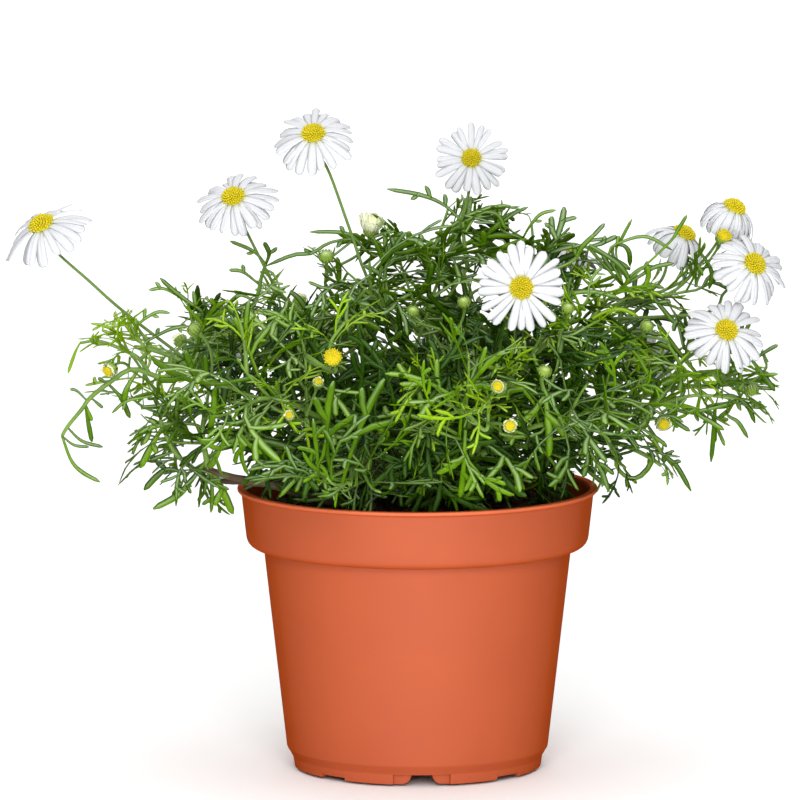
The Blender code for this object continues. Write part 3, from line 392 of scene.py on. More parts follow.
def side_of(directions, spread):
    """The unit vector at right angles to each direction that is nearest to a spread."""
    return unit(spread - directions * (spread * directions).sum(axis=-1, keepdims=True))


def turned_about(axes, vectors, angles):
    """Vectors at right angles to their axes turned by angles: v cos a + (axis x v) sin a."""
    angles = np.asarray(angles)[..., None]
    return vectors * np.cos(angles) + np.cross(axes, vectors) * np.sin(angles)


def waves(points, wavelength, seed, count=14):
    """Smooth noise from -1 to 1: the mean of sines of plane waves in random directions, about a wavelength long."""
    source = np.random.default_rng(seed)
    directions = unit(source.normal(size=(count, 3))) * math.tau / wavelength
    directions *= source.uniform(0.6, 1.6, (count, 1))
    phases = source.uniform(0, math.tau, count)
    return np.sin(points @ directions.T + phases).sum(axis=-1) / math.sqrt(count)


def foliage_share(points):
    """How far out points are, with 1 at the foliage's edge: the larger of |x/a|^n + |y/b|^n and |y/b|^n + |z/c|^n,
    where c is the height of the top or foot line at x."""
    x, y, z = points[..., 0], points[..., 1], points[..., 2] - FOLIAGE_MIDDLE
    top = np.interp(x, *zip(*TOP_LINE)) - FOLIAGE_MIDDLE
    foot = FOLIAGE_MIDDLE - np.interp(x, *zip(*FOOT_LINE))
    shares = np.abs(np.stack([x / FOLIAGE_REACH[0], y / FOLIAGE_REACH[1], z / np.where(z > 0.0, top, foot)]))
    across, back, up = shares**FOLIAGE_SQUARENESS
    return np.maximum(across, up) + back


def in_foliage(points):
    """Whether points are within the foliage."""
    return foliage_share(points) < 1.0


def off_pot(points):
    """Whether points are clear of the rim's wall, above the compost, and not in front of the rim's middle."""
    reach = np.hypot(points[..., 0], points[..., 1])
    at_rim = (reach > 54.5) & (reach < 62.0) & (points[..., 2] < 96.0)
    in_front = (points[..., 1] < -30.0) & (np.abs(points[..., 0]) < 66.0) & (reach > 54.0)
    before_rim = in_front & (points[..., 2] < POT_HEIGHT + 4.5 - math.tan(CAMERA_RISE) * (points[..., 1] + LIP_RADIUS))
    return ~at_rim & ~before_rim & ~((reach < 57.0) & (points[..., 2] < 88.5))


def seen(px, py, y):
    """The point at a depth y that the camera sees at a pixel of the 800-pixel picture."""
    s, c = math.sin(CAMERA_RISE), math.cos(CAMERA_RISE)
    x0, _, z0 = CAMERA_AIM
    px, py, y = np.broadcast_arrays(*(np.asarray(value, float) for value in (px, py, y)))
    q = (PICTURE_SIDE / 2 - py) / CAMERA_PIXELS
    z = (q * (CAMERA_DISTANCE + y * c) - y * s) / (c + q * s)
    depth = CAMERA_DISTANCE + y * c - z * s
    return np.stack([x0 + (px - PICTURE_SIDE / 2) * depth / CAMERA_PIXELS, y, z + z0], axis=-1)


def pixels(points):
    """Where the camera sees points: their offsets to the right and up over their distance, in pixels."""
    s, c = math.sin(CAMERA_RISE), math.cos(CAMERA_RISE)
    x, y, z = (points[..., k] - CAMERA_AIM[k] for k in range(3))
    scale = CAMERA_PIXELS / (CAMERA_DISTANCE + y * c - z * s)
    return np.stack([PICTURE_SIDE / 2 + x * scale, PICTURE_SIDE / 2 - (y * s + z * c) * scale], axis=-1)


def smooth_path(knots, count):
    """A smooth line through knots: between two of them it is the cubic curve that leaves and arrives at the slope
    of the knots on either side."""
    knots = np.asarray(knots, float)
    padded = np.concatenate([[2 * knots[0] - knots[1]], knots, [2 * knots[-1] - knots[-2]]])
    where = np.linspace(0, len(knots) - 1, count)
    first = np.minimum(where.astype(int), len(knots) - 2)
    t = (where - first)[:, None]
    a, b, c, d = (padded[first + k] for k in range(4))
    return b + t * (c - a) / 2 + t * t * (a - 2.5 * b + 2 * c - d / 2) + t**3 * (1.5 * (b - c) + (d - a) / 2)


# Meshes -------------------------------------------------------------------------------------------------


def grid_faces(rows, columns, closed):
    """Quads between the points of a grid, row after row; a closed grid joins its last column to its first."""
    row = np.arange(rows - 1)[:, None] * columns
    column = np.arange(columns if closed else columns - 1)[None, :]
    after = (column + 1) % columns
    corners = np.stack([row + column, row + after, row + columns + after, row + columns + column], axis=-1)
    return corners.reshape(-1, 4)


def end_faces(rows, columns):
    """The faces that close a tube's two ends: the first ring the other way round, and the last ring."""
    ring = np.arange(columns)
    return np.stack([ring[::-1], ring + (rows - 1) * columns])


def repeated(faces, count, size):
    """The same faces for each of a count of copies with a size of points."""
    return (faces[None] + (np.arange(count) * size)[:, None, None]).reshape(-1, faces.shape[1])


def lay_mesh(name, parts, material, nodes=(), smooth=True):
    """One piece from parts (points, a list of face arrays, and UV or None), each put after the last."""
    points = np.concatenate([part[0].reshape(-1, 3) for part in parts]) * MM
    starts = np.cumsum([0] + [part[0].size // 3 for part in parts])
    faces = [array + start for part, start in zip(parts, starts) for array in part[1]]
    corners = np.concatenate([array.ravel() for array in faces])
    widths = np.concatenate([np.full(len(array), array.shape[1]) for array in faces])
    mesh = bpy.data.meshes.new(name)
    mesh.vertices.add(len(points))
    mesh.vertices.foreach_set("co", points.astype(np.float32).ravel())
    mesh.loops.add(len(corners))
    mesh.loops.foreach_set("vertex_index", corners.astype(np.int32))
    mesh.polygons.add(len(widths))
    mesh.polygons.foreach_set("loop_start", (np.cumsum(widths) - widths).astype(np.int32))
    mesh.polygons.foreach_set("loop_total", widths.astype(np.int32))
    if parts[0][2] is not None:
        flat = np.concatenate([part[2].reshape(-1, 2) for part in parts])
        mesh.uv_layers.new(name="UVMap").data.foreach_set("uv", flat[corners].astype(np.float32).ravel())
    mesh.update(calc_edges=True)
    mesh.polygons.foreach_set("use_smooth", np.full(len(widths), smooth))
    mesh.materials.append(material)
    piece = bpy.data.objects.new(name, mesh)
    bpy.context.scene.collection.objects.link(piece)
    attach(piece, "root")
    if nodes:
        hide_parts(*nodes)
    return piece


def tubes(paths, radii, sides, relief=None):
    """Tubes along paths (n, m, 3): each point of a ring is path + radius (across cos a + up sin a), by a fixed
    reference for each path that is furthest from its run. UV is the share along and the share round."""
    paths = np.asarray(paths, float)
    tangents = unit(np.gradient(paths, axis=1))
    run = unit(tangents.mean(axis=1))
    reference = np.eye(3)[np.abs(run).argmin(axis=1)][:, None]
    across = side_of(tangents, np.broadcast_to(reference, tangents.shape))
    other = np.cross(tangents, across)
    angle = np.arange(sides) * math.tau / sides
    ring = across[:, :, None] * np.cos(angle)[:, None] + other[:, :, None] * np.sin(angle)[:, None]
    size = np.broadcast_to(radii, paths.shape[:2])[:, :, None, None]
    points = paths[:, :, None] + ring * size
    if relief is not None:
        points += ring * size * relief(points, angle)[..., None]
    count, rows = paths.shape[:2]
    share = np.broadcast_to(np.linspace(0, 1, rows)[None, :, None], points.shape[:3])
    uv = np.stack([share, np.broadcast_to(angle / math.tau, points.shape[:3])], axis=-1)
    faces = [repeated(grid_faces(rows, sides, True), count, rows * sides),
             repeated(end_faces(rows, sides), count, rows * sides)]
    return points.reshape(-1, 3), faces, uv.reshape(-1, 2)


def copies(form, places, frames, sizes):
    """Copies of a form (points, faces, UV): each point is place + size (x, y, z) . (along, across, face)."""
    points, faces, uv = form
    count = len(places)
    put = np.einsum("pk,nkj->npj", points, frames) * sizes[:, None, None] + places[:, None]
    return (put.reshape(-1, 3), [repeated(array, count, len(points)) for array in faces],
            np.tile(uv, (count, 1)))


# Materials ----------------------------------------------------------------------------------------------


def linear(code):
    """An sRGB hex colour in linear light: c/12.92 up to 0.04045, and ((c + 0.055)/1.055)^2.4 above."""
    srgb = np.array([int(code[k:k + 2], 16) for k in (0, 2, 4)]) / 255
    return (*np.where(srgb <= 0.04045, srgb / 12.92, ((srgb + 0.055) / 1.055) ** 2.4), 1.0)


def add(tree, kind, sockets=None, **traits):
    """Adds a node with its traits, and gives its sockets numbers, colours or links from other nodes' sockets."""
    node = tree.nodes.new(kind)
    for trait, value in traits.items():
        setattr(node, trait, value)
    for socket, value in (sockets or {}).items():
        if isinstance(value, bpy.types.NodeSocket):
            tree.links.new(value, node.inputs[socket])
        else:
            node.inputs[socket].default_value = value
    return node


def opened(name, roughness, specular=0.5):
    """A new material's tree, its shader, and the sockets of the Object coordinates and the UV map."""
    material = bpy.data.materials.new(name)
    material.use_nodes = True
    shader = material.node_tree.nodes["Principled BSDF"]
    shader.inputs["Roughness"].default_value = roughness
    shader.inputs["Specular IOR Level"].default_value = specular
    where = material.node_tree.nodes.new("ShaderNodeTexCoord")
    return material, material.node_tree, shader, where.outputs["Object"], where.outputs["UV"]


def moulded_polypropylene():
    """Injection-moulded polypropylene: satin, with slow flow marks 25 mm long and a fine eggshell grain, and a painted
    highlight on the lip's top.

    The real grain is about 0.2 mm; it is drawn at 0.8 mm, so that it shows as a soft break in the highlight.
    """
    material, tree, shader, where, _ = opened("moulded_polypropylene", 0.7, 0.35)
    flow = add(tree, "ShaderNodeTexNoise", {"Vector": where, "Scale": 40.0, "Detail": 3.0})
    colour = add(tree, "ShaderNodeMix", {0: flow.outputs[0], 6: linear("9D401A"), 7: linear("A84A20")},
                 data_type="RGBA")
    height = add(tree, "ShaderNodeSeparateXYZ", {0: where})
    # Painted highlight: the top 1.6 mm of the lip is mixed towards a paler orange, as the light it catches.
    lip_highlight = add(tree, "ShaderNodeMapRange", {0: height.outputs["Z"], 1: 0.0926, 2: 0.0942})
    edge = add(tree, "ShaderNodeMix", {0: lip_highlight.outputs[0], 6: colour.outputs[2], 7: linear("D0643A")},
               data_type="RGBA")
    tree.links.new(edge.outputs[2], shader.inputs["Base Color"])
    grain = add(tree, "ShaderNodeTexNoise", {"Vector": where, "Scale": 1250.0, "Detail": 2.0})
    sheen = add(tree, "ShaderNodeMapRange", {0: flow.outputs[0], 3: 0.64, 4: 0.76})
    away = add(tree, "ShaderNodeLayerWeight", {"Blend": 0.5})
    gloss = add(tree, "ShaderNodeMapRange", {0: away.outputs["Facing"], 1: 0.05, 2: 0.72, 3: 0.5, 4: 0.0},
                interpolation_type="SMOOTHSTEP")
    tree.links.new(gloss.outputs[0], shader.inputs["Specular IOR Level"])
    tree.links.new(sheen.outputs[0], shader.inputs["Roughness"])
    bump = add(tree, "ShaderNodeBump", {"Height": grain.outputs[0], "Strength": 0.25, "Distance": 0.00006})
    tree.links.new(bump.outputs[0], shader.inputs["Normal"])
    return material


def moist_peat():
    """Moist peat compost: brown on its lumps and painted near black between them as shade in the hollows, with
    paler fibres about 0.7 mm wide.
    """
    material, tree, shader, where, _ = opened("moist_peat", 0.93, 0.25)
    lumps = add(tree, "ShaderNodeTexNoise", {"Vector": where, "Scale": 260.0, "Detail": 6.0})
    # Painted shade: the noise that raises the lumps darkens the hollows between them to near black.
    colour = add(tree, "ShaderNodeMix", {0: lumps.outputs[0], 6: linear("120C08"), 7: linear("4A3524")},
                 data_type="RGBA")
    strands = add(tree, "ShaderNodeTexVoronoi", {"Vector": where, "Scale": 420.0}, feature="DISTANCE_TO_EDGE")
    fibre = add(tree, "ShaderNodeMapRange", {0: strands.outputs[0], 1: 0.03, 2: 0.0, 3: 0.0, 4: 0.45})
    both = add(tree, "ShaderNodeMix", {0: fibre.outputs[0], 6: colour.outputs[2], 7: linear("7A5C3C")},
               data_type="RGBA")
    tree.links.new(both.outputs[2], shader.inputs["Base Color"])
    bump = add(tree, "ShaderNodeBump", {"Height": lumps.outputs[0], "Strength": 0.8, "Distance": 0.0008})
    tree.links.new(bump.outputs[0], shader.inputs["Normal"])
    return material


def young_bark():
    """Young bark on a soft woody stem: brown skin split lengthwise, paler in the splits, dull."""
    material, tree, shader, where, uv = opened("young_bark", 0.8, 0.3)
    stretched = add(tree, "ShaderNodeMapping", {0: uv, 3: (2.0, 14.0, 1.0)})
    splits = add(tree, "ShaderNodeTexNoise", {"Vector": stretched.outputs[0], "Scale": 3.0, "Detail": 5.0})
    colour = add(tree, "ShaderNodeMix", {0: splits.outputs[0], 6: linear("2A1E16"), 7: linear("64503C")},
                 data_type="RGBA")
    moss = add(tree, "ShaderNodeTexNoise", {"Vector": where, "Scale": 180.0})
    green = add(tree, "ShaderNodeMapRange", {0: moss.outputs[0], 1: 0.5, 2: 0.7, 4: 0.5})
    both = add(tree, "ShaderNodeMix", {0: green.outputs[0], 6: colour.outputs[2], 7: linear("5E6A34")},
               data_type="RGBA")
    tree.links.new(both.outputs[2], shader.inputs["Base Color"])
    bump = add(tree, "ShaderNodeBump", {"Height": splits.outputs[0], "Strength": 0.6, "Distance": 0.0003})
    tree.links.new(bump.outputs[0], shader.inputs["Normal"])
    return material


def green_skin(name, low, high):
    """The skin of a green stem: ribbed lengthwise, a little waxy, darker where it is older."""
    material, tree, shader, where, uv = opened(name, 0.5, 0.4)
    blotch = add(tree, "ShaderNodeTexNoise", {"Vector": where, "Scale": 150.0, "Detail": 3.0})
    colour = add(tree, "ShaderNodeMix", {0: blotch.outputs[0], 6: linear(low), 7: linear(high)},
                 data_type="RGBA")
    tree.links.new(colour.outputs[2], shader.inputs["Base Color"])
    ribs = add(tree, "ShaderNodeTexWave", {"Vector": uv, "Scale": 1.6}, bands_direction="Y")
    bump = add(tree, "ShaderNodeBump", {"Height": ribs.outputs[0], "Strength": 0.4, "Distance": 0.0001})
    tree.links.new(bump.outputs[0], shader.inputs["Normal"])
    return material


def leaf_blade(name, body, dark_tone_and_edge_shade, bloom_and_sheen):
    """A fleshy narrow leaf: satin skin with painted shade along its rolled edges, and a grey waxy bloom down its
    channel on the side that faces the sky, which is also a painted sheen of the light from above."""
    material, tree, shader, where, uv = opened(name, 0.5, 0.05)
    patch = add(tree, "ShaderNodeTexNoise", {"Vector": where, "Scale": 110.0, "Detail": 3.0})
    contrast = add(tree, "ShaderNodeMapRange", {0: patch.outputs[0], 1: 0.32, 2: 0.68})
    colour = add(tree, "ShaderNodeMix", {0: contrast.outputs[0], 6: linear(dark_tone_and_edge_shade), 7: linear(body)},
                 data_type="RGBA")
    across = add(tree, "ShaderNodeSeparateXYZ", {0: uv})
    off = add(tree, "ShaderNodeMath", {0: across.outputs["Y"], 1: 0.5}, operation="SUBTRACT")
    apart = add(tree, "ShaderNodeMath", {0: off.outputs[0]}, operation="ABSOLUTE")
    # Painted sheen, partly the leaf's waxy bloom: paler down the channel on faces whose normal points to the sky.
    middle = add(tree, "ShaderNodeMapRange", {0: apart.outputs[0], 1: 0.0, 2: 0.36, 3: 0.85, 4: 0.12})
    surface = add(tree, "ShaderNodeNewGeometry")
    level = add(tree, "ShaderNodeSeparateXYZ", {0: surface.outputs["Normal"]})
    skyward = add(tree, "ShaderNodeMapRange", {0: level.outputs["Z"], 1: 0.05, 2: 0.95, 3: 0.0, 4: 1.0})
    waxy = add(tree, "ShaderNodeMath", {0: middle.outputs[0], 1: skyward.outputs[0]}, operation="MULTIPLY")
    pale = add(tree, "ShaderNodeMix", {0: waxy.outputs[0], 6: colour.outputs[2], 7: linear(bloom_and_sheen)},
               data_type="RGBA")
    # Painted shade: the rolled edges are darkened towards the dark tone, as the shading of the rounded blade.
    rim = add(tree, "ShaderNodeMapRange", {0: apart.outputs[0], 1: 0.3, 2: 0.5, 3: 0.0, 4: 0.6})
    both = add(tree, "ShaderNodeMix", {0: rim.outputs[0], 6: pale.outputs[2], 7: linear(dark_tone_and_edge_shade)},
               data_type="RGBA")
    tree.links.new(both.outputs[2], shader.inputs["Base Color"])
    channel = add(tree, "ShaderNodeMapRange", {0: apart.outputs[0], 1: 0.0, 2: 0.3})
    bump = add(tree, "ShaderNodeBump", {"Height": channel.outputs[0], "Strength": 0.5, "Distance": 0.0003})
    tree.links.new(bump.outputs[0], shader.inputs["Normal"])
    return material


def ray_petal(name, body, groove_shade, foot):
    """A daisy's ray: soft white with two shallow grooves along it, greyed in them as painted shade, and a tint of
    the foot's colour by the disc.
    """
    material, tree, shader, where, uv = opened(name, 0.6, 0.3)
    split = add(tree, "ShaderNodeSeparateXYZ", {0: uv})
    lines = add(tree, "ShaderNodeMath", {0: split.outputs["Y"], 1: 3 * math.tau}, operation="MULTIPLY")
    ridges = add(tree, "ShaderNodeMath", {0: lines.outputs[0]}, operation="COSINE")
    # Painted shade: the white goes towards the grey second colour where the bump is lowest.
    depth = add(tree, "ShaderNodeMapRange", {0: ridges.outputs[0], 1: 1.0, 2: -1.0, 3: 0.0, 4: 0.4})
    colour = add(tree, "ShaderNodeMix", {0: depth.outputs[0], 6: linear(body), 7: linear(groove_shade)},
                 data_type="RGBA")
    near = add(tree, "ShaderNodeMapRange", {0: split.outputs["X"], 1: 0.3, 2: 0.02, 3: 0.0, 4: 0.8})
    both = add(tree, "ShaderNodeMix", {0: near.outputs[0], 6: colour.outputs[2], 7: linear(foot)},
               data_type="RGBA")
    tree.links.new(both.outputs[2], shader.inputs["Base Color"])
    bump = add(tree, "ShaderNodeBump", {"Height": ridges.outputs[0], "Strength": 0.35, "Distance": 0.0002})
    tree.links.new(bump.outputs[0], shader.inputs["Normal"])
    return material


def floret_pollen(name, low, high):
    """Disc florets: matt, each dusted with pollen, so their colour goes from one to the other within 0.5 mm."""
    material, tree, shader, where, _ = opened(name, 0.7, 0.3)
    dust = add(tree, "ShaderNodeTexNoise", {"Vector": where, "Scale": 1500.0, "Detail": 2.0})
    colour = add(tree, "ShaderNodeMix", {0: dust.outputs[0], 6: linear(low), 7: linear(high)},
                 data_type="RGBA")
    tree.links.new(colour.outputs[2], shader.inputs["Base Color"])
    return material


# Pot and compost ----------------------------------------------------------------------------------------


def rounded(outline, steps=7):
    """An outline whose corners (radius, height, rounding) are cut by arcs: the point at t of a corner is
    a(1-t)^2 + 2bt(1-t) + ct^2, with a and c a rounding away from the corner b."""
    corners = np.array(outline, float)
    spots, cut = corners[:, :2], corners[:, 2:]
    back = np.roll(spots, 1, axis=0) - spots
    on = np.roll(spots, -1, axis=0) - spots
    t = np.linspace(0, 1, steps)[None, :, None]
    start = (spots + unit(back) * cut)[:, None]
    end = (spots + unit(on) * cut)[:, None]
    arcs = start * (1 - t) ** 2 + 2 * spots[:, None] * t * (1 - t) + end * t * t
    return arcs.reshape(-1, 2)


def build_pot(material):
    """The pot turned about Z: (r cos a, r sin a, z) for each outline point (r, z) and angle a, closed at the axis.

    Below the underside r is less by a step's depth in the front and the back notch, and z is squeezed up to
    the top of the gate or the small notch that stands at that angle.
    """
    slope = (BODY_TOP_RADIUS - BODY_FOOT_RADIUS) / (BAND_FOOT - BODY_FOOT)
    inside_foot = BODY_FOOT_RADIUS - WALL - slope * (BODY_FOOT - FLOOR_TOP)
    ledge = BAND_FOOT + WALL
    step_radius = RING_FOOT_RADIUS + (RING_TOP_RADIUS - RING_FOOT_RADIUS) * UNDERSIDE / RING_TOP
    outline = rounded([
        (0.02, FLOOR_TOP, 0.01),
        (inside_foot, FLOOR_TOP, 1.0),
        (BODY_TOP_RADIUS - WALL, ledge, 0.2),
        (BAND_FOOT_RADIUS - WALL, ledge + 0.6, 1.0),
        (BAND_TOP_RADIUS - WALL, POT_HEIGHT, 0.5),
        (LIP_RADIUS, POT_HEIGHT, 0.45),
        (LIP_RADIUS, POT_HEIGHT - LIP_HEIGHT, 0.4),
        (BAND_TOP_RADIUS, POT_HEIGHT - LIP_HEIGHT - 0.5, 0.5),
        (BAND_FOOT_RADIUS, BAND_FOOT, 3.5),
        (BODY_TOP_RADIUS, BAND_FOOT - 0.2, 0.5),
        (BODY_FOOT_RADIUS, BODY_FOOT, 0.4),
        (RING_TOP_RADIUS + 0.3, RING_TOP, 0.5),
        (step_radius, UNDERSIDE + 0.01, 0.01),
        (step_radius, UNDERSIDE - 0.01, 0.01),
        (RING_FOOT_RADIUS, 0.0, 0.4),
        (RING_FOOT_RADIUS - RING_WALL, 0.0, 0.3),
        (RING_FOOT_RADIUS - RING_WALL, UNDERSIDE, 0.05),
        (PAD_RADIUS + 1.0, UNDERSIDE, 0.3),
        (PAD_RADIUS, 0.0, 0.3),
        (0.02, 0.0, 0.01),
    ])
    even = np.linspace(-math.pi, math.pi, 288, endpoint=False)
    edges = np.concatenate([
        np.array([BIG_NOTCH_HALF - 0.01, BIG_NOTCH_HALF + 0.01]),
        GATE_HALF + LOBE_RADIUS * (1 - np.cos(np.linspace(0, math.pi / 2, 9))),
    ])
    big = np.concatenate([edges, -edges]) / RING_FOOT_RADIUS
    small = np.array([-0.01, 0.01]) + SMALL_NOTCH_HALF
    small = np.concatenate([small, -small]) / RING_FOOT_RADIUS
    quarter = np.arange(4)[:, None] * math.pi / 2 - math.pi / 2 + NOTCH_TURN
    angle = np.concatenate([even, (big + quarter).ravel(), (small + quarter + math.pi / 4).ravel()])
    angle = np.unique(np.round((angle + math.pi) % math.tau - math.pi, 6))
    turn = (angle + math.pi / 2 - NOTCH_TURN) % (math.pi / 2)
    off_big = np.minimum(turn, math.pi / 2 - turn) * RING_FOOT_RADIUS
    off_small = np.abs(turn - math.pi / 4) * RING_FOOT_RADIUS
    lobe = np.clip(GATE_HALF + LOBE_RADIUS - off_big, 0.0, LOBE_RADIUS)
    gate = UNDERSIDE - np.sqrt(LOBE_RADIUS**2 - lobe**2)
    foot = np.where(off_small < SMALL_NOTCH_HALF, SMALL_NOTCH_HEIGHT, np.minimum(gate, 0.99 * UNDERSIDE))
    radius, height = outline[:, 0:1], outline[:, 1:2]
    in_ring = (height < UNDERSIDE) & (radius > RING_FOOT_RADIUS - RING_WALL - 0.5)
    stepped = (off_big < BIG_NOTCH_HALF) & (np.abs(np.sin(angle)) > 0.7)
    step = np.where(in_ring & (radius > RING_FOOT_RADIUS - 0.9) & stepped, BIG_NOTCH_DEPTH, 0.0)
    z = np.where(in_ring, foot + height * (UNDERSIDE - foot) / UNDERSIDE, height)
    r = np.where(in_ring, radius - step, radius)
    points = np.stack([r * np.cos(angle), r * np.sin(angle), z], axis=-1)
    rows, columns = points.shape[:2]
    faces = [grid_faces(rows, columns, True)[:, ::-1], end_faces(rows, columns)[:, ::-1]]
    pot = lay_mesh("pot_shell", [(points, faces, None)], material, ["pot"])
    pot.data.set_sharp_from_angle(angle=math.radians(40))
    return pot


def build_compost(material):
    """Compost: a disc turned about Z whose top is its dome and smooth noise of three sizes, with crumbs on it."""
    rise = (SOIL_EDGE - 76.3) / (POT_HEIGHT - 1.4 - 76.3)
    edge = BAND_FOOT_RADIUS + rise * (BAND_TOP_RADIUS - BAND_FOOT_RADIUS) - WALL - 0.45
    radius = np.concatenate([np.linspace(0.02, edge, 70), [edge - 0.8, edge - 6.0, 0.02]])
    dome = np.interp(radius, [0, SOIL_FLAT_RADIUS, edge], [SOIL_CROWN, SOIL_CROWN, SOIL_EDGE])
    dome[-3:] = [79.0, 76.5, 76.5]
    angle = np.arange(220) * math.tau / 220
    flat = np.stack([radius[:, None] * np.cos(angle), radius[:, None] * np.sin(angle),
                     0 * angle + dome[:, None]], axis=-1)
    rough = 0.55 * waves(flat, 9.0, 1) + 0.4 * np.abs(waves(flat, 3.6, 2)) + 0.22 * waves(flat, 1.5, 3)
    away = np.clip(radius / SOIL_FLAT_RADIUS - 0.6, 0.0, 1.0)
    away[-3:] = 0.0
    flat[..., 2] += (rough - 0.3) * away[:, None]
    rows, columns = flat.shape[:2]
    body = (flat, [grid_faces(rows, columns, True)[:, ::-1], end_faces(rows, columns)[:, ::-1]], None)
    source = np.random.default_rng(5)
    turn, tilt = np.meshgrid(np.arange(6) * math.tau / 6, np.linspace(0.15, math.pi - 0.15, 5))
    ball = np.stack([np.sin(tilt) * np.cos(turn), np.sin(tilt) * np.sin(turn), np.cos(tilt)], axis=-1)
    parts = [body]
    for kind in range(5):
        form = ball * (1 + 0.3 * waves(ball, 1.6, kind)[..., None]) * source.uniform(0.6, 1.3, 3)
        count = 230
        reach = (edge - 1.8) * np.sqrt(source.uniform(0.04, 1, count))
        spots = place(source.uniform(0, 360, count), reach,
                      np.interp(reach, [0, SOIL_FLAT_RADIUS, edge], [SOIL_CROWN, SOIL_CROWN, SOIL_EDGE]))
        frames = turned_frames(source.normal(size=(count, 3)), source.normal(size=(count, 3)))
        crumb = (form.reshape(-1, 3), [grid_faces(5, 6, True)[:, ::-1], end_faces(5, 6)[:, ::-1]],
                 np.zeros((30, 2)))
        points, faces, _ = copies(crumb, spots, frames, source.gamma(3.0, 0.32, count))
        parts.append((points, faces, None))
    return lay_mesh("peat_compost", parts, material, ["compost"])


def turned_frames(lengthwise, upward):
    """Frames (n, 3, 3) of rows along, across and face: the face is the part of upward square to along."""
    along_way = unit(lengthwise)
    face = side_of(along_way, upward)
    return np.stack([along_way, np.cross(face, along_way), face], axis=1)


# Limbs --------------------------------------------------------------------------------------------------


def crown_radius(share):
    """The crown's radius: its top's, and the flare times (1 - share)^2.5."""
    return CROWN_TOP_RADIUS + (CROWN_FLARE_RADIUS - CROWN_TOP_RADIUS) * (1.0 - share) ** 2.5


def crown_middle(share):
    """The crown's middle at a share of its height, leaning by 3s^2 - 2s^3 of its lean."""
    share = np.asarray(share, float)
    lean = CROWN_LEAN * share * share * (3.0 - 2.0 * share)
    return np.stack([lean, 0 * share, SOIL_CROWN + CROWN_HEIGHT * share], axis=-1)


def limb_routes():
    """The boughs' lines and the masses' stems, by the rule of the solids; a stem starts inside its bough."""
    boughs, stems = {}, {}
    for name, (azimuth, reach, height, from_top) in BOUGHS.items():
        tip = place(azimuth, reach, height)
        if from_top:
            third = 30 + 120 * round((azimuth - 30) / 120)
            start, leave = crown_middle(1.0) + way(third, 0) * TOP_TIER_OFFSET - UP, UP
        else:
            start, leave = crown_middle(SIDE_TIER) + way(azimuth, 0) * 3.0, way(azimuth, 4)
        span = np.linalg.norm(tip - start)
        arrive = (tip - start) / span * 0.6 + UP * 0.45
        boughs[name] = bezier(start, start + leave * 0.35 * span, tip - arrive * 0.35 * span, tip, 30)
    for name, (bough, azimuth, reach, height) in MASSES.items():
        tip = place(azimuth, reach, height)
        if bough == "crown":
            direction, apart = way(azimuth, 8), UP
            start = crown_middle(HEART_TIER) + way(azimuth, 0) * 4.0
        else:
            line = boughs[bough]
            direction = unit(line[-1] - line[-2])
            middle = np.mean([place(*row[1:]) for row in MASSES.values() if row[0] == bough], axis=0)
            apart = side_of(direction, tip - middle)
            start = line[-1] - direction * 2.0 + apart * 0.9
        span = np.linalg.norm(tip - start)
        turn = start + (direction * 0.25 + apart * 0.08) * span
        arrive = (tip - start) * 0.3 - UP * 0.16 * span
        stems[name] = bezier(start, turn, tip - arrive, tip, 24)
    return boughs, stems


def low_shoots(source):
    """Shoots off the crown's foot, each 137.5 degrees on from the last, that rise and then come down outside."""
    order = np.arange(LOW_SHOOTS)
    azimuth = np.degrees(order * GOLDEN_ANGLE)
    foot = crown_middle(np.full(LOW_SHOOTS, 0.3)) + place(azimuth, 4.0, 0.0)
    tip = place(azimuth, source.uniform(*LOW_REACH, LOW_SHOOTS), source.uniform(*LOW_HEIGHT, LOW_SHOOTS))
    span = np.linalg.norm(tip - foot, axis=1)[:, None]
    return bezier(foot, foot + (unit(tip - foot) * 0.2 + UP * 0.25) * span, tip - (tip - foot) * 0.3 + UP * 4.0, tip, 20)


def bark(points, angle):
    """Bark's relief: five ridges round the limb that wander along it, and fine noise."""
    wander = waves(points, 26.0, 7) * 1.4
    return 0.09 * np.abs(np.sin(2.5 * angle + wander)) + 0.05 * waves(points, 1.6, 8)


def build_wood(boughs, old, material):
    """The crown, its boughs and old stems (line, radius) as tubes with bark's relief."""
    share = np.linspace(0.0, 1.0, 30)
    crown = crown_middle(share * 1.04 - 0.04)
    parts = [tubes(crown[None], crown_radius(share)[None], 28, bark)]
    lines = np.array(list(boughs.values()))
    radii = np.linspace(2.1, 1.55, lines.shape[1])
    parts.append(tubes(lines, radii, 16, bark))
    parts += [tubes(line[None], np.linspace(radius, 0.75 * radius, len(line)), 14, bark) for line, radius in old]
    nodes = ["crown"] + ["bough_" + name for name in BOUGHS]
    return lay_mesh("woody_crown", parts, material, nodes)


# Leaves -------------------------------------------------------------------------------------------------


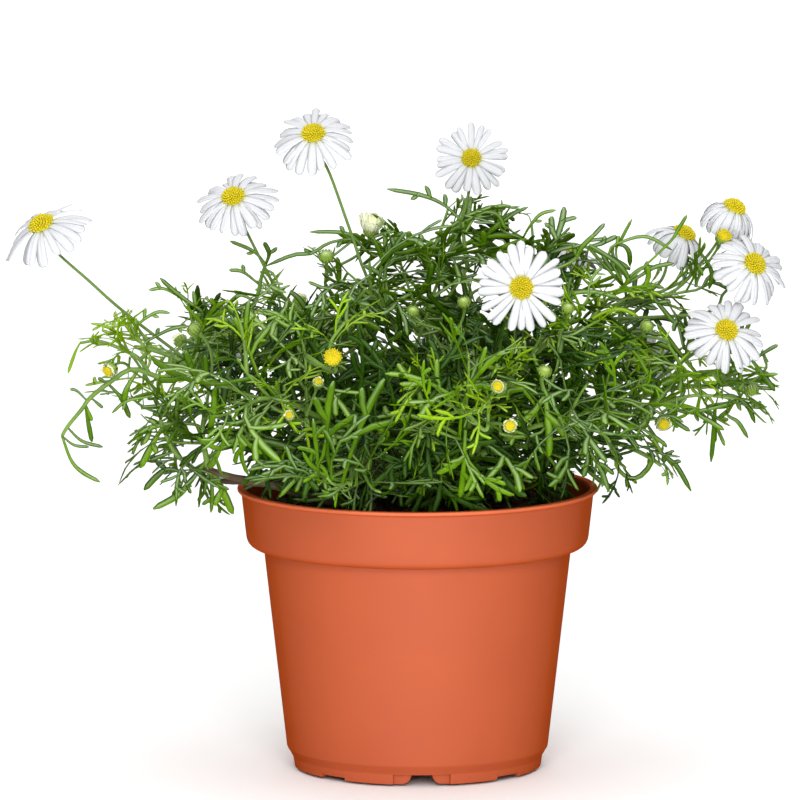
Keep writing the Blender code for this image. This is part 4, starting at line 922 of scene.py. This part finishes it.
def blade(start, heading, turn, length, shares, half_widths, keel=0.55):
    """A narrow blade in the plane, as rings of four points: left edge, channel, right edge and keel.

    Its midrib at a share s has the heading h + turn s, so each step adds its length times (cos, sin).
    """
    shares, half_widths = np.array(shares), np.array(half_widths)
    middle = heading + turn * (shares[1:] + shares[:-1]) / 2
    steps = np.diff(shares)[:, None] * length * np.stack([np.cos(middle), np.sin(middle)], axis=-1)
    rib = np.concatenate([[start], np.asarray(start) + np.cumsum(steps, axis=0)])
    now = heading + turn * shares
    left = np.stack([-np.sin(now), np.cos(now)], axis=-1) * half_widths[:, None]
    level = np.zeros(len(shares))
    rings = np.stack([
        np.column_stack([rib + left, level]),
        np.column_stack([rib, level - 0.12 * half_widths]),
        np.column_stack([rib - left, level]),
        np.column_stack([rib, -keel * half_widths - 0.08]),
    ], axis=1)
    uv = np.stack([np.repeat(shares[:, None], 4, axis=1),
                   np.broadcast_to([0.0, 0.5, 1.0, 0.5], rings.shape[:2])], axis=-1)
    rows = len(shares)
    faces = [grid_faces(rows, 4, True), np.arange(4)[None] + 4 * (rows - 1)]
    return rings.reshape(-1, 3), faces, uv.reshape(-1, 2)


def leaf_form(length, width, blunt, lobes, bend, cup, side, turn):
    """A leaf along +X: a stalk and midrib, lobes off it and a tooth off some lobes, then bent as a whole.

    The midrib turns evenly: at a distance d it is at (L/t)(sin(t d/L), 1 - cos(t d/L)). A lobe is (where, side,
    length, angle, curl away from the midrib, tooth's length). Bending by an angle a = x / r turns (x, z) to
    (r sin a + z sin a, z cos a - r(1 - cos a)); cup lifts z by a share of |y|.
    """
    shares = np.array([0.0, 0.3, 0.55, 0.78, 0.94, 1.0])
    half = width / 2
    ribs = half * (np.array([0.55, 0.55, 0.72, 0.85, 0.5, 0.12]) * (1 - blunt)
                   + np.array([0.55, 0.5, 0.62, 0.95, 0.95, 0.38]) * blunt)
    turn = turn * side
    parts = [blade((0.0, 0.0), 0.0, turn, length, shares, ribs)]
    for where, which, long, angle, curl, tooth in lobes:
        now = turn * where / length
        heading = now + math.radians(angle) * which * side
        root = np.array([math.sin(now), 1 - math.cos(now)]) * length / turn
        widths = half * (np.array([0.55, 0.82, 0.55, 0.12]) * (1 - blunt) + np.array([0.6, 0.85, 0.95, 0.38]) * blunt)
        curl = curl * which * side
        parts.append(blade(root, heading, curl, long, [0.0, 0.4, 0.87, 1.0], widths))
        if tooth:
            middle = heading + 0.25 * curl
            fork = root + 0.5 * long * np.array([math.cos(middle), math.sin(middle)])
            out = heading + 0.5 * curl + 0.75 * which * side * (1 if angle < 58 else -1)
            parts.append(blade(fork, out, 0.5 * curl, tooth, [0.0, 0.6, 1.0], np.array([0.7, 0.7, 0.22]) * half))
    starts = np.cumsum([0] + [len(part[0]) for part in parts])
    points = np.concatenate([part[0] for part in parts])
    faces = [array + start for part, start in zip(parts, starts) for array in part[1]]
    points[:, 2] += cup * np.abs(points[:, 1])
    a = points[:, 0] * bend
    x = np.sin(a) / bend + points[:, 2] * np.sin(a)
    z = points[:, 2] * np.cos(a) - (1 - np.cos(a)) / bend
    points = np.column_stack([x, points[:, 1], z])
    return points, [np.concatenate(faces)], np.concatenate([part[2] for part in parts])


# Leaf, from the youngest: its length, its lobes' width, how blunt its tips are, and its lobes (how far along, side,
# length, angle in degrees from the midrib, curl away from it in radians, and the length of its tooth).
LEAVES = [
    (14.0, 1.25, 0.1, [(5.0, 1, 5.5, 36, -0.3, 0), (7.0, -1, 5.5, 38, 0.4, 0), (9.5, 1, 3.5, 30, 0.5, 0)]),
    (20.0, 1.6, 0.2, [(7.0, 1, 8.0, 42, -0.6, 0), (10.0, -1, 7.0, 40, 0.5, 0), (14.0, 1, 4.5, 38, 0.4, 0)]),
    (27.0, 2.05, 0.4, [(11.0, 1, 9.0, 46, -0.7, 0), (15.0, -1, 8.0, 40, 0.6, 0), (21.0, 1, 5.0, 38, 0.5, 0)]),
    (32.0, 2.35, 0.6, [(13.0, -1, 9.5, 46, 0.5, 0), (18.0, 1, 9.5, 44, -0.6, 3.0), (25.0, -1, 5.0, 40, 0.4, 0)]),
    (35.0, 2.5, 0.8, [(17.0, 1, 12.0, 40, 0.6, 3.5), (23.0, -1, 8.0, 46, -0.6, 0)]),
    (31.0, 2.6, 1.0, [(20.0, -1, 8.0, 38, 0.4, 0)]),
]
# How a leaf bends down, in radians to a millimetre, and turns aside, in radians from its foot to its tip.
BENDS = ((0.012, 1.2), (0.03, 0.8), (0.05, 0.5))


def leaf_forms():
    """Every leaf in each bend, and mirrored."""
    return [leaf_form(*leaf, bend, 0.12, side, turn) for leaf in LEAVES for bend, turn in BENDS for side in (1, -1)]


def grow_twigs(stems, source):
    """Twigs off stems (n, m, 3): the k-th turns 137.5 k degrees about the stem, leans from it and lifts.

    A twig whose tip would leave the foliage or fill a gap is shortened, or left out. Returns the twigs' paths, and
    where each one is: its stem's number and the share of the stem.
    """
    count, rows = len(stems), TWIGS_PER_STEM
    shares = np.linspace(0.2, 0.98, rows) + source.uniform(-0.03, 0.02, (count, rows))
    foot, base = along(stems, shares)
    phase = source.uniform(0, math.tau, (count, 1)) + GOLDEN_ANGLE * np.arange(rows)
    side = turned_about(base, side_of(base, np.broadcast_to([0.31, 0.17, 1.0], base.shape)), phase)
    lean = TWIG_ANGLE * (1.1 - 0.55 * shares)[..., None]
    direction = unit(base * np.cos(lean) + side * np.sin(lean) + UP * TWIG_LIFT)
    length = TWIG_LENGTH * source.uniform(0.75, 1.2, (count, rows)) * (1.15 - 0.4 * shares)
    kept_length = np.zeros_like(length)
    for share in (0.4, 0.6, 0.8, 1.0):
        tip = foot + (direction + UP * 0.12) * (length * share)[..., None]
        free = in_foliage(tip) & off_pot(tip) & in_sight(tip) & in_sight((foot + tip) / 2)
        kept_length = np.where(free, length * share, kept_length)
    share = np.interp(foot[..., 0], *zip(*TWIG_SHARE))
    keep = (kept_length > 0.0) & (source.random((count, rows)) < share)
    foot, direction, length = foot[keep], direction[keep], kept_length[keep][:, None]
    tip = foot + (direction + UP * 0.12) * length
    arrive = unit(direction + UP * 0.5 + source.normal(0, 0.4, direction.shape))
    paths = bezier(foot, foot + direction * length / 3, tip - arrive * length / 3, tip, 10)
    return paths, np.nonzero(keep)[0], shares[keep]


def spray_kinds(tips, source):
    """The kind of each spray: 0 deep inside, whose darkest skin is painted shade, then 1 dark, 2 mid and 3 fresh by
    smooth noise, with more of the fresh kind at the front where young growth shows."""
    patch = waves(tips, 60.0, 31) + source.normal(0, 0.35, len(tips))
    spots = np.array(FRESH_SPOTS, float)
    away = np.linalg.norm(pixels(tips)[:, None] - spots[:, :2], axis=-1) / spots[:, 2]
    patch += 1.5 * (away.min(axis=1) < 1.0) * (tips[:, 1] < 25.0)
    # Kind 0, the sprays deep in the foliage, takes the darkest skin as painted shade.
    return np.where(foliage_share(tips) < 0.28, 0, 1 + np.digitize(patch, [-0.2, 0.95]))


def ribbon(path, half_widths, keel=0.55):
    """A blade along a path in space, as rings of four points like a flat blade's, that faces forwards and up."""
    tangent = unit(np.gradient(path, axis=0))
    face = side_of(tangent, np.array([0.0, -0.75, 0.65]))
    across = np.cross(face, tangent)
    half = np.asarray(half_widths)[:, None]
    rings = np.stack([path + across * half, path - face * half * 0.12, path - across * half,
                      path - face * (keel * half + 0.08)], axis=1)
    rows = len(path)
    uv = np.stack([np.repeat(np.linspace(0, 1, rows)[:, None], 4, axis=1),
                   np.broadcast_to([0.0, 0.5, 1.0, 0.5], (rows, 4))], axis=-1)
    return rings.reshape(-1, 3), [grid_faces(rows, 4, True), end_faces(rows, 4)], uv.reshape(-1, 2)


def joined_on(wood, knots, depth):
    """A course seen by the camera at a depth, from the point of the wood that is nearest to its start."""
    spots = seen(*np.array(knots, float).T, depth)
    near = wood[np.linalg.norm(wood - spots[0], axis=1).argmin()]
    skip = 1 if np.linalg.norm(near - spots[0]) < 4.0 else 0
    return np.concatenate([[near], spots[skip:]])


def seen_leaf(wood, depth, width, knots, lobes):
    """A leaf along a course in the picture, with a lobe at each share that leaves at 50 degrees and curls on."""
    path = smooth_path(joined_on(wood, knots, depth), 14)
    share = np.linspace(0, 1, 14)
    parts = [ribbon(path, width / 2 * np.interp(share, [0, 0.3, 0.7, 0.92, 1], [0.5, 0.65, 1.0, 0.9, 0.25]))]
    tangents = unit(np.gradient(path, axis=0))
    for where, side, long in lobes:
        k = round(where * 13)
        face = side_of(tangents[k], np.array([0.0, -0.75, 0.65]))
        out = unit(tangents[k] * 0.64 + np.cross(face, tangents[k]) * side * 0.77)
        tip = path[k] + out * long
        line = bezier(path[k], path[k] + out * long / 3, tip - unit(out + tangents[k] * 0.6) * long / 3, tip, 6)
        parts.append(ribbon(line, width / 2 * np.array([0.6, 0.7, 0.85, 0.9, 0.75, 0.25])))
    return parts


def in_sight(points):
    """Whether points leave the picture's gaps, the daisies' faces and the buds free."""
    gaps = np.array(GAPS, float)
    away = np.linalg.norm(pixels(points)[..., None, :] - gaps[:, :2], axis=-1)
    heads = np.array([place(*row[2:5]) for row in DAISIES.values()])
    facing = np.array([way(*row[5:7]) for row in DAISIES.values()])
    off = points[..., None, :] - heads
    before = (off * facing).sum(axis=-1)
    beside = np.sqrt(np.clip((off * off).sum(axis=-1) - before**2, 0, None))
    hides = (before > -5.0) & (before < 16.0) & (beside < 13.5)
    buds = np.array([row[:4] for row in BUDS])
    past = np.linalg.norm(pixels(points)[..., None, :] - buds[:, :2], axis=-1)
    covers = (past < buds[:, 3] * 3.0 + 2.0) & (points[..., None, 1] < buds[:, 2] + 2.0)
    return ~(away < gaps[:, 2]).any(axis=-1) & ~hides.any(axis=-1) & ~covers.any(axis=-1)


def path_lengths(paths):
    """The length of each path: the sum of its steps."""
    return np.linalg.norm(np.diff(paths, axis=1), axis=-1).sum(axis=1)


def grow_leaves(shoots, kinds, bare, source):
    """Leaves down shoots from their tips, each a spacing and 137.5 degrees on from the last.

    Towards the tip they are smaller and closer to the shoot. A leaf that would leave the foliage, meet the pot
    or fill a gap is turned, made smaller, or left out. Returns the leaves' places, frames, sizes, forms and kinds,
    and the share of each shoot where its outermost leaf is, or 0 for none.
    """
    most = 19
    order = np.arange(most)[None, :]
    length = path_lengths(shoots)[:, None]
    shares = 1.0 - order * LEAF_SPACING * source.uniform(0.85, 1.15, (len(shoots), most)) / length
    grows = shares > bare[:, None]
    foot, base = along(shoots, np.clip(shares, 0.0, 1.0))
    phase = source.uniform(0, math.tau, (len(shoots), 1)) + GOLDEN_ANGLE * order
    start = side_of(base, np.broadcast_to([0.31, 0.17, 1.0], base.shape))
    lean = np.radians(22 + 42 * np.minimum(order / 5, 1) + source.uniform(-20, 20, shares.shape))[..., None]
    lift = source.uniform(-0.25, 0.3, (*shares.shape, 1))
    upward = base * 0.6 + UP * 0.8 + source.normal(0, 0.55, foot.shape)
    size = (0.62 + 0.38 * np.minimum((order + 1) / 3, 1)) * source.uniform(0.82, 1.12, shares.shape)
    size *= np.where(kinds == 3, 0.82, 1.0)[:, None]
    outer = 1.4 * (foliage_share(foot) > 0.5)
    old = np.clip(order * 0.8 + source.uniform(-1.2, 1.2, shares.shape) + 0.5 * (3 - kinds[:, None]) + outer, 0, None)
    form = np.where(old < 5, old, source.integers(2, len(LEAVES), shares.shape)).astype(int)
    form = np.minimum(form, np.where(kinds[:, None] == 3, 2, len(LEAVES) - 1))
    long = np.array([leaf[0] for leaf in LEAVES])[form]
    kind, mirrored = source.integers(0, len(BENDS), shares.shape), source.integers(0, 2, shares.shape)
    form = (form * len(BENDS) + kind) * 2 + mirrored
    bend, curl = np.moveaxis(np.array(BENDS)[kind], -1, 0)
    curl = curl * (1 - 2 * mirrored)
    kept_size, kept_way = np.zeros_like(size), base.copy()
    for share in (0.6, 0.8, 1.0):
        for turn in (-0.9, 0.9, 0.0):
            side = turned_about(base, start, phase + turn)
            direction = unit(base * np.cos(lean) + side * np.sin(lean) + UP * lift)
            face = side_of(direction, upward)
            across = np.cross(face, direction)
            fits = grows
            for part, aside in LEAF_TESTS:
                angle = long * np.sin(curl * part) / curl * bend
                off = aside * long + long * (1 - np.cos(curl * part)) / curl
                spot = foot + (size * share / bend)[..., None] * (
                    direction * np.sin(angle)[..., None] - face * (1 - np.cos(angle))[..., None]
                    + across * (off * bend)[..., None])
                fits = fits & in_foliage(spot) & off_pot(spot) & in_sight(spot)
            kept_size = np.where(fits, size * share, kept_size)
            kept_way = np.where(fits[..., None], direction, kept_way)
    keep = kept_size > 0.0
    kinds = np.broadcast_to(kinds[:, None], keep.shape)[keep]
    last = np.where(keep, shares, 0.0).max(axis=1)
    return (foot[keep], turned_frames(kept_way[keep], upward[keep]), kept_size[keep], form[keep], kinds), last


def pruned(paths, last):
    """The paths cut off at their last leaf, and left out where they have none."""
    rows = np.linspace(0.0, 1.0, paths.shape[1])
    return along(paths, rows * np.minimum(last + 0.01, 1.0)[:, None])[0][last > 0.0]


def build_leaves(leaves, single, materials):
    """The leaves as joined pieces, one or more for each kind of spray, each under 190,000 triangles. The leaves
    made singly (kind, part) go with the first piece of their kind."""
    places, frames, sizes, forms, kinds = leaves
    shapes = leaf_forms()
    made = []
    for kind, (name, material) in enumerate(materials):
        mine = np.nonzero(kinds == kind)[0]
        for part, chosen in enumerate(np.array_split(mine, max(1, math.ceil(len(mine) / 1050)))):
            parts = [copies(shape, places[chosen][forms[chosen] == k], frames[chosen][forms[chosen] == k],
                            sizes[chosen][forms[chosen] == k])
                     for k, shape in enumerate(shapes) if (forms[chosen] == k).any()]
            if part == 0:
                parts += [one for own, one in single if own == kind]
            nodes = ["leaves_" + mass for mass in MASSES] if not made else []
            made.append(lay_mesh(f"{name}_{part + 1}", parts, material, nodes))
    return made


# Daisies ------------------------------------------------------------------------------------------------


def head_frame(facing):
    """The frame whose third row is the way a head faces."""
    facing = unit(np.asarray(facing, float))
    across = side_of(facing, np.array([0.0, 0.3, 1.0]))
    return np.stack([across, np.cross(facing, across), facing])


def rays(count, droop, size, source, length=RAY_LENGTH):
    """A head's rays, each a flat tube of eight points round: at a share s it has turned down by the rise and
    the droop times s^0.8, its half width is a rounded spoon, and its tip is notched."""
    s = np.array([0.0, 0.12, 0.25, 0.4, 0.55, 0.7, 0.81, 0.89, 0.95, 0.985, 1.0])
    t = np.array([-1.0, -0.55, 0.0, 0.55, 1.0, 0.55, 0.0, -0.55])
    under = np.array([0, 0, 0, 0, 0, 1, 1, 1])
    long = length + 2.3 + source.uniform(-1.5, 0.6, (count, 1))
    droops = math.radians(droop) * 1.35 + source.uniform(-0.22, 0.22, (count, 1))
    angle = -RAY_RISE + (droops + RAY_RISE) * s**0.8
    step = long * np.diff(s, prepend=0.0)
    out = DISC_RADIUS - 1.6 + np.cumsum(np.cos(angle) * step, axis=1)
    down = np.cumsum(np.sin(angle) * step, axis=1)
    spoon = RAY_HALF_WIDTH * (0.4 + 0.6 * np.sin(np.pi * np.clip(s * 0.62, 0, 1)) ** 0.9)
    spoon = spoon * np.where(s > 0.85, np.sqrt(np.clip(1 - ((s - 0.85) / 0.185) ** 2, 0, 1)), 1.0)
    notch = 0.2 * np.cos(1.5 * math.pi * t) - 0.22 * t * t
    width = spoon[None, :, None] * t * source.uniform(0.75, 1.15, (count, 1, 1))
    x = out[:, :, None] + notch * (s**6)[None, :, None]
    z = -down[:, :, None] - 0.14 * width**2 - 0.16 * under
    twist = source.uniform(-0.35, 0.35, (count, 1, 1)) * s[None, :, None]
    y, z = width * np.cos(twist) - z * 0, z + width * np.sin(twist)
    turn = np.arange(count) * math.tau / count + source.uniform(-0.09, 0.09, count)
    turn = turn[:, None, None]
    z = z - 0.45 * (np.arange(count) % 2)[:, None, None] * (1 - s[None, :, None])
    points = np.stack([x * np.cos(turn) - y * np.sin(turn), x * np.sin(turn) + y * np.cos(turn), z], axis=-1)
    uv = np.stack(np.broadcast_arrays(s[None, :, None], (t[None, None] + 1) / 2, x)[:2], axis=-1)
    rows, columns = len(s), len(t)
    faces = [repeated(grid_faces(rows, columns, True)[:, ::-1], count, rows * columns),
             repeated(end_faces(rows, columns)[:, ::-1], count, rows * columns)]
    return points.reshape(-1, 3) * size, faces, uv.reshape(-1, 2)


def lathe(profile, columns):
    """A profile of (radius, height) turned about Z and closed at both ends; UV is the share along and round."""
    profile = np.array(profile, float)
    angle = np.arange(columns) * math.tau / columns
    points = np.stack([profile[:, :1] * np.cos(angle), profile[:, :1] * np.sin(angle),
                       profile[:, 1:] + 0 * angle], axis=-1)
    rows = len(profile)
    uv = np.stack(np.broadcast_arrays(np.linspace(0, 1, rows)[:, None], angle / math.tau), axis=-1)
    return points, [grid_faces(rows, columns, True)[:, ::-1], end_faces(rows, columns)[:, ::-1]], uv


def florets(radius, height, count, source):
    """Knobs on a dome by the sunflower rule: the k-th is at radius sqrt(k / n) and 137.5 k degrees on."""
    k = np.arange(count)
    reach = radius * np.sqrt((k + 0.5) / count)
    turn = GOLDEN_ANGLE * k
    z = height * (1 - (reach / radius) ** 2.2)
    spots = np.stack([reach * np.cos(turn), reach * np.sin(turn), z], axis=-1)
    lean = np.stack([np.cos(turn) * reach / radius * 0.8, np.sin(turn) * reach / radius * 0.8, 1 + 0 * turn], axis=-1)
    frames = turned_frames(lean, source.normal(size=(count, 3)))
    knob_row = np.array([[-0.4, 0.30], [0.35, 0.36], [0.75, 0.27], [0.88, 0.08]])
    angle = np.arange(6) * math.tau / 6
    knob = np.stack([knob_row[:, :1] + 0 * angle, knob_row[:, 1:] * np.cos(angle),
                     knob_row[:, 1:] * np.sin(angle)], axis=-1)
    faces = [grid_faces(4, 6, True)[:, ::-1], end_faces(4, 6)[1:, ::-1]]
    return copies((knob.reshape(-1, 3), faces, np.zeros((24, 2))), spots, frames,
                  source.uniform(0.85, 1.15, count) * radius / DISC_RADIUS)


def bracts(count, radius, depth, reach, source):
    """Bracts round a cup: narrow blades whose middle at a share s is at an angle a = reach s up from the cup's
    foot, (radius sin a, -depth cos a), and that end in a point."""
    s = np.linspace(0.0, 1.0, 7)
    t = np.array([-1.0, 0.0, 1.0, 0.0])
    out = radius * np.sin(reach * s)
    half = radius * 2.3 / count * np.sin(np.pi * (0.25 + 0.72 * s))
    x = out[:, None] + 0.16 * np.array([0, 1, 0, -1])
    y = half[:, None] * t
    turn = (np.arange(count) * math.tau / count + source.uniform(-0.05, 0.05, count))[:, None, None]
    height = np.broadcast_to((-depth * np.cos(reach * s))[:, None], (count, 7, 4))
    points = np.stack([x * np.cos(turn) - y * np.sin(turn), x * np.sin(turn) + y * np.cos(turn), height], axis=-1)
    uv = np.stack(np.broadcast_arrays(s[None, :, None], (t + 1) / 2, turn)[:2], axis=-1)
    faces = [repeated(grid_faces(7, 4, True), count, 28), repeated(end_faces(7, 4), count, 28)]
    return points.reshape(-1, 3), faces, uv.reshape(-1, 2)


def set_on(part, head, frame):
    """A part made about the origin, turned by a frame and moved to a head's place."""
    points, faces, uv = part
    return points.reshape(-1, 3) @ frame + head, faces, uv.reshape(-1, 2)


def build_daisies(stems, wood, materials):
    """Each daisy's and bud's rays, disc with florets, green cup and stalk, joined by kind."""
    source = np.random.default_rng(21)
    petals, discs, cups, stalks = [], [], [], []
    for name, (mass, share, azimuth, reach, height, face, rise, droop, size) in DAISIES.items():
        head, facing = place(azimuth, reach, height), way(face, rise)
        frame = head_frame(facing)
        petals.append(set_on(rays(int(source.integers(19, 23)), droop, size, source), head, frame))
        dome = [(0.02, DISC_HEIGHT - 0.5), (1.8, DISC_HEIGHT - 0.8), (3.1, 0.6), (3.5, -0.2), (2.4, -1.2), (0.02, -1.2)]
        for part in (lathe(dome, 16), florets(DISC_RADIUS, DISC_HEIGHT, FLORET_COUNT, source)):
            discs.append(set_on((part[0] * size, *part[1:]), head, frame))
        bowl = [(0.02, -0.6), (CUP_RADIUS, -0.7), (CUP_RADIUS * 0.85, -2.0), (1.7, -CUP_DEPTH), (0.02, -CUP_DEPTH - 0.2)]
        for part in (lathe(bowl, 16), bracts(16, CUP_RADIUS * 1.04, CUP_DEPTH, 1.7, source)):
            cups.append(set_on((part[0] * size, *part[1:]), head, frame))
        foot, stem_way = along(stems[mass][None], np.array([[share]]))
        foot, stem_way = foot[0, 0], stem_way[0, 0]
        top = head - facing * (CUP_DEPTH - 0.4) * size
        leave = side_of(stem_way, unit(top - foot) * 0.8 + UP * 0.4)
        span = np.linalg.norm(top - foot)
        if name in STALK_ROUTES:
            route = np.array(STALK_ROUTES[name], float)
            depth = foot[1] + (top[1] - foot[1]) * (np.arange(len(route)) + 1) / (len(route) + 1)
            stalks.append(smooth_path([foot, *seen(*route.T, depth), top - facing * 7.0 * size, top], 28))
        else:
            stalks.append(bezier(foot, foot + (leave * 0.2 + UP * 0.1) * span, top - facing * 0.3 * span, top, 28))
    young = []
    for px, py, depth, radius, stage, face, rise in BUDS:
        spot, facing = seen(px, py, depth), way(face, rise)
        frame = head_frame(facing)
        ball = np.array([(0.02, 0.75), (0.6, 0.6), (0.95, 0.1), (0.8, -0.5), (0.3, -0.9), (0.02, -0.95)]) * radius
        cups.append(set_on(lathe(ball, 12), spot, frame))
        cups.append(set_on(bracts(13, radius * 1.06, radius, 2.5 if stage == 0 else 1.75, source), spot, frame))
        if stage in (1, 3):
            wide = radius * (0.98 if stage == 3 else 0.68)
            points, faces, uv = florets(wide * 0.97, wide * 0.5, 72, source)
            discs.append(set_on((points + [0, 0, wide * 0.45], faces, uv), spot + facing * (radius - wide) * 0.6, frame))
            dome = np.array([(0.02, 1.0), (0.5, 0.93), (0.85, 0.65), (0.98, 0.3), (0.02, 0.25)]) * wide
            discs.append(set_on(lathe(dome, 14), spot + facing * (radius - wide) * 0.6, frame))
        if stage == 1:
            young.append(set_on(rays(17, -58, radius / 4.9, source, 2.2), spot, frame))
        elif stage == 2:
            young.append(set_on(rays(15, -68, 0.6, source, 8.0), spot, frame))
        foot = wood[np.linalg.norm(wood - (spot - facing * 9.0 - UP * 5.0), axis=1).argmin()]
        top = spot - facing * radius * 0.8
        span = np.linalg.norm(top - foot)
        stalks.append(bezier(foot, foot + UP * 0.2 * span, top - facing * 0.45 * span, top, 28))
    nodes = ["daisy_" + name for name in DAISIES]
    lay_mesh("ray_petals", petals, materials["rays"], nodes)
    lay_mesh("young_rays", young, materials["young"])
    lay_mesh("disc_florets", discs, materials["florets"])
    lay_mesh("green_cups", cups, materials["bract"])
    thin = np.concatenate([np.linspace(STALK_RADIUS, STALK_RADIUS * 0.8, 24), [0.62, 0.7, 0.85, 1.1]])
    lay_mesh("flower_stalks", [tubes(np.array(stalks), thin, 8)], materials["stem"])


# Studio -------------------------------------------------------------------------------------------------


def build_studio():
    """A pale floor and world, large soft lights over the camera and behind, a low card before the pot, and the
    camera."""
    angle = np.arange(96) * math.tau / 96
    rings = np.stack([np.outer([0.01, 400.0, 9000.0], np.cos(angle)), np.outer([0.01, 400.0, 9000.0], np.sin(angle)),
                      np.zeros((3, 96))], axis=-1)
    mesh = bpy.data.meshes.new("floor")
    faces = grid_faces(3, 96, True).tolist()
    mesh.from_pydata((rings.reshape(-1, 3) * MM).tolist(), [], faces)
    floor = bpy.data.objects.new("floor", mesh)
    bpy.context.scene.collection.objects.link(floor)
    material, tree, shader, where, _ = opened("matt_paper", 0.9, 0.1)
    shader.inputs["Base Color"].default_value = linear("F2F2F2")
    mesh.materials.append(material)
    world = bpy.data.worlds.new("studio")
    world.use_nodes = True
    sky = world.node_tree
    direction = add(sky, "ShaderNodeTexCoord")
    split = add(sky, "ShaderNodeSeparateXYZ", {0: direction.outputs["Generated"]})
    strength = add(sky, "ShaderNodeMapRange", {0: split.outputs["Z"], 1: 0.3, 2: 0.85, 3: 0.1, 4: 1.45})
    sky.links.new(strength.outputs[0], sky.nodes["Background"].inputs["Strength"])
    sky.nodes["Background"].inputs["Color"].default_value = (1.0, 1.0, 1.0, 1.0)
    bpy.context.scene.world = world
    for name, spot, aim, side, power in (
        ("key", (20, -2100, 1000), (0, 0, 110), 1000, 38.5),
        ("card", (0, -330, 12), (0, -50, 45), 220, 0.8),
        ("back", (0, 2700, 1900), (0, 2700, 0), 2400, 34.0),
    ):
        light = bpy.data.lights.new(name, "AREA")
        light.size, light.energy = side * MM, power
        lamp = bpy.data.objects.new(name, light)
        bpy.context.scene.collection.objects.link(lamp)
        lamp.location = [c * MM for c in spot]
        lamp.visible_camera = False
        aim_at(lamp, np.array(aim, float) - spot)
    camera = bpy.data.cameras.new("camera")
    camera.sensor_width, camera.lens = SENSOR_WIDTH, CAMERA_PIXELS / PICTURE_SIDE * SENSOR_WIDTH
    camera.clip_end = 20.0
    eye = bpy.data.objects.new("camera", camera)
    bpy.context.scene.collection.objects.link(eye)
    back = np.array([0.0, -math.cos(CAMERA_RISE), math.sin(CAMERA_RISE)])
    eye.location = [(a + CAMERA_DISTANCE * b) * MM for a, b in zip(CAMERA_AIM, back)]
    aim_at(eye, -back)
    bpy.context.scene.camera = eye
    bpy.context.scene.view_settings.view_transform = "Standard"


def aim_at(obj, direction):
    """Turns a light or camera, which look along their own -Z, to a direction with its top towards the sky."""
    side = unit(np.cross(direction, UP + np.array([0.0, 1e-4, 0.0])))
    turn = np.stack([side, unit(np.cross(side, direction)), -unit(direction)])
    obj.rotation_mode = "QUATERNION"
    obj.rotation_quaternion = Matrix(turn.T.tolist()).to_quaternion()


def main():
    build_studio()
    build_pot(moulded_polypropylene())
    build_compost(moist_peat())
    boughs, stems = limb_routes()
    stem_skin = green_skin("green_stem_skin", "4A6A1C", "7A9A40")
    source = np.random.default_rng(11)
    lines = np.array(list(stems.values()))
    twigs, stem, share = grow_twigs(lines, source)
    low = low_shoots(source)
    wood = np.concatenate([lines[:, 4:].reshape(-1, 3), twigs.reshape(-1, 3)])
    old = []
    for depth, radius, knots in OLD_STEMS:
        old.append((smooth_path(joined_on(wood, knots, depth), 30), radius))
        wood = np.concatenate([wood, old[-1][0]])
    build_wood(boughs, old, young_bark())
    seen_lines = []
    for depth, _, _, knots in SEEN_STEMS:
        seen_lines.append(smooth_path(joined_on(wood, knots, depth), 24))
        wood = np.concatenate([wood, seen_lines[-1]])
    bare = np.where((~in_sight(twigs)).sum(axis=1) > MOST_IN_GAPS, 2.0, 0.12)
    twig_leaves, twig_last = grow_leaves(twigs, spray_kinds(twigs[:, -1], source), bare, source)
    stem_leaves, stem_last = grow_leaves(lines, spray_kinds(lines[:, -1], source), np.full(len(lines), 0.5), source)
    np.maximum.at(stem_last, stem, np.where(twig_last > 0.0, share, 0.0))
    low_leaves, low_last = grow_leaves(low, np.full(len(low), 1), np.full(len(low), 0.15), source)
    grown = [twig_leaves, stem_leaves, low_leaves]
    for line, (_, _, kind, _) in zip(seen_lines, SEEN_STEMS):
        if kind:
            grown.append(grow_leaves(line[None], np.array([kind]), np.array([0.3]), source)[0])
    leaves = [np.concatenate(arrays) for arrays in zip(*grown)]
    lines, twigs, low = pruned(lines, stem_last), pruned(twigs, twig_last), pruned(low, low_last)
    lay_mesh("green_stems", [
        tubes(lines, np.linspace(1.15, 0.7, lines.shape[1]), 8),
        tubes(twigs, np.linspace(0.62, 0.42, twigs.shape[1]), 6),
        tubes(low, np.linspace(0.9, 0.45, low.shape[1]), 6),
        tubes(seen_lines, np.outer([row[1] for row in SEEN_STEMS], np.linspace(1.0, 0.6, 24)), 8),
    ], stem_skin)
    print("leaves", len(leaves[0]), "twigs", len(twigs), "kinds", np.bincount(leaves[4]))
    single = [(kind, part) for kind, *row in SEEN_LEAVES for part in seen_leaf(wood, *row)]
    # Leaf skins: body, dark tone that is also painted edge shade, and waxy bloom that is also painted sheen; the first
    # skin, for sprays deep inside, is painted shade.
    build_leaves(leaves, single, [
        ("leaves_painted_shade", leaf_blade("leaf_skin_painted_shade", "305000", "1E3800", "567448")),
        ("leaves_dark", leaf_blade("leaf_skin_dark", "507208", "345600", "9CB488")),
        ("leaves_mid", leaf_blade("leaf_skin_mid", "658C0A", "4A7000", "A8BE8A")),
        ("leaves_fresh", leaf_blade("leaf_skin_fresh", "84AA06", "648A00", "B0CC5C")),
    ])
    build_daisies(stems, wood, {
        # The rays' second colour is painted shade in their grooves.
        "rays": ray_petal("ray_petal_white", "CBCCCF", "BABCC2", "BEC4A0"),
        "young": ray_petal("ray_petal_cream", "F4F6D4", "DCE2B2", "BCCB80"),
        "florets": floret_pollen("floret_pollen", "A6980A", "E4D21C"),
        "bract": leaf_blade("bract_skin", "8EA848", "6A8830", "C8D4A0"),
        "stem": green_skin("stalk_skin", "48641F", "688A36"),
    })


main()
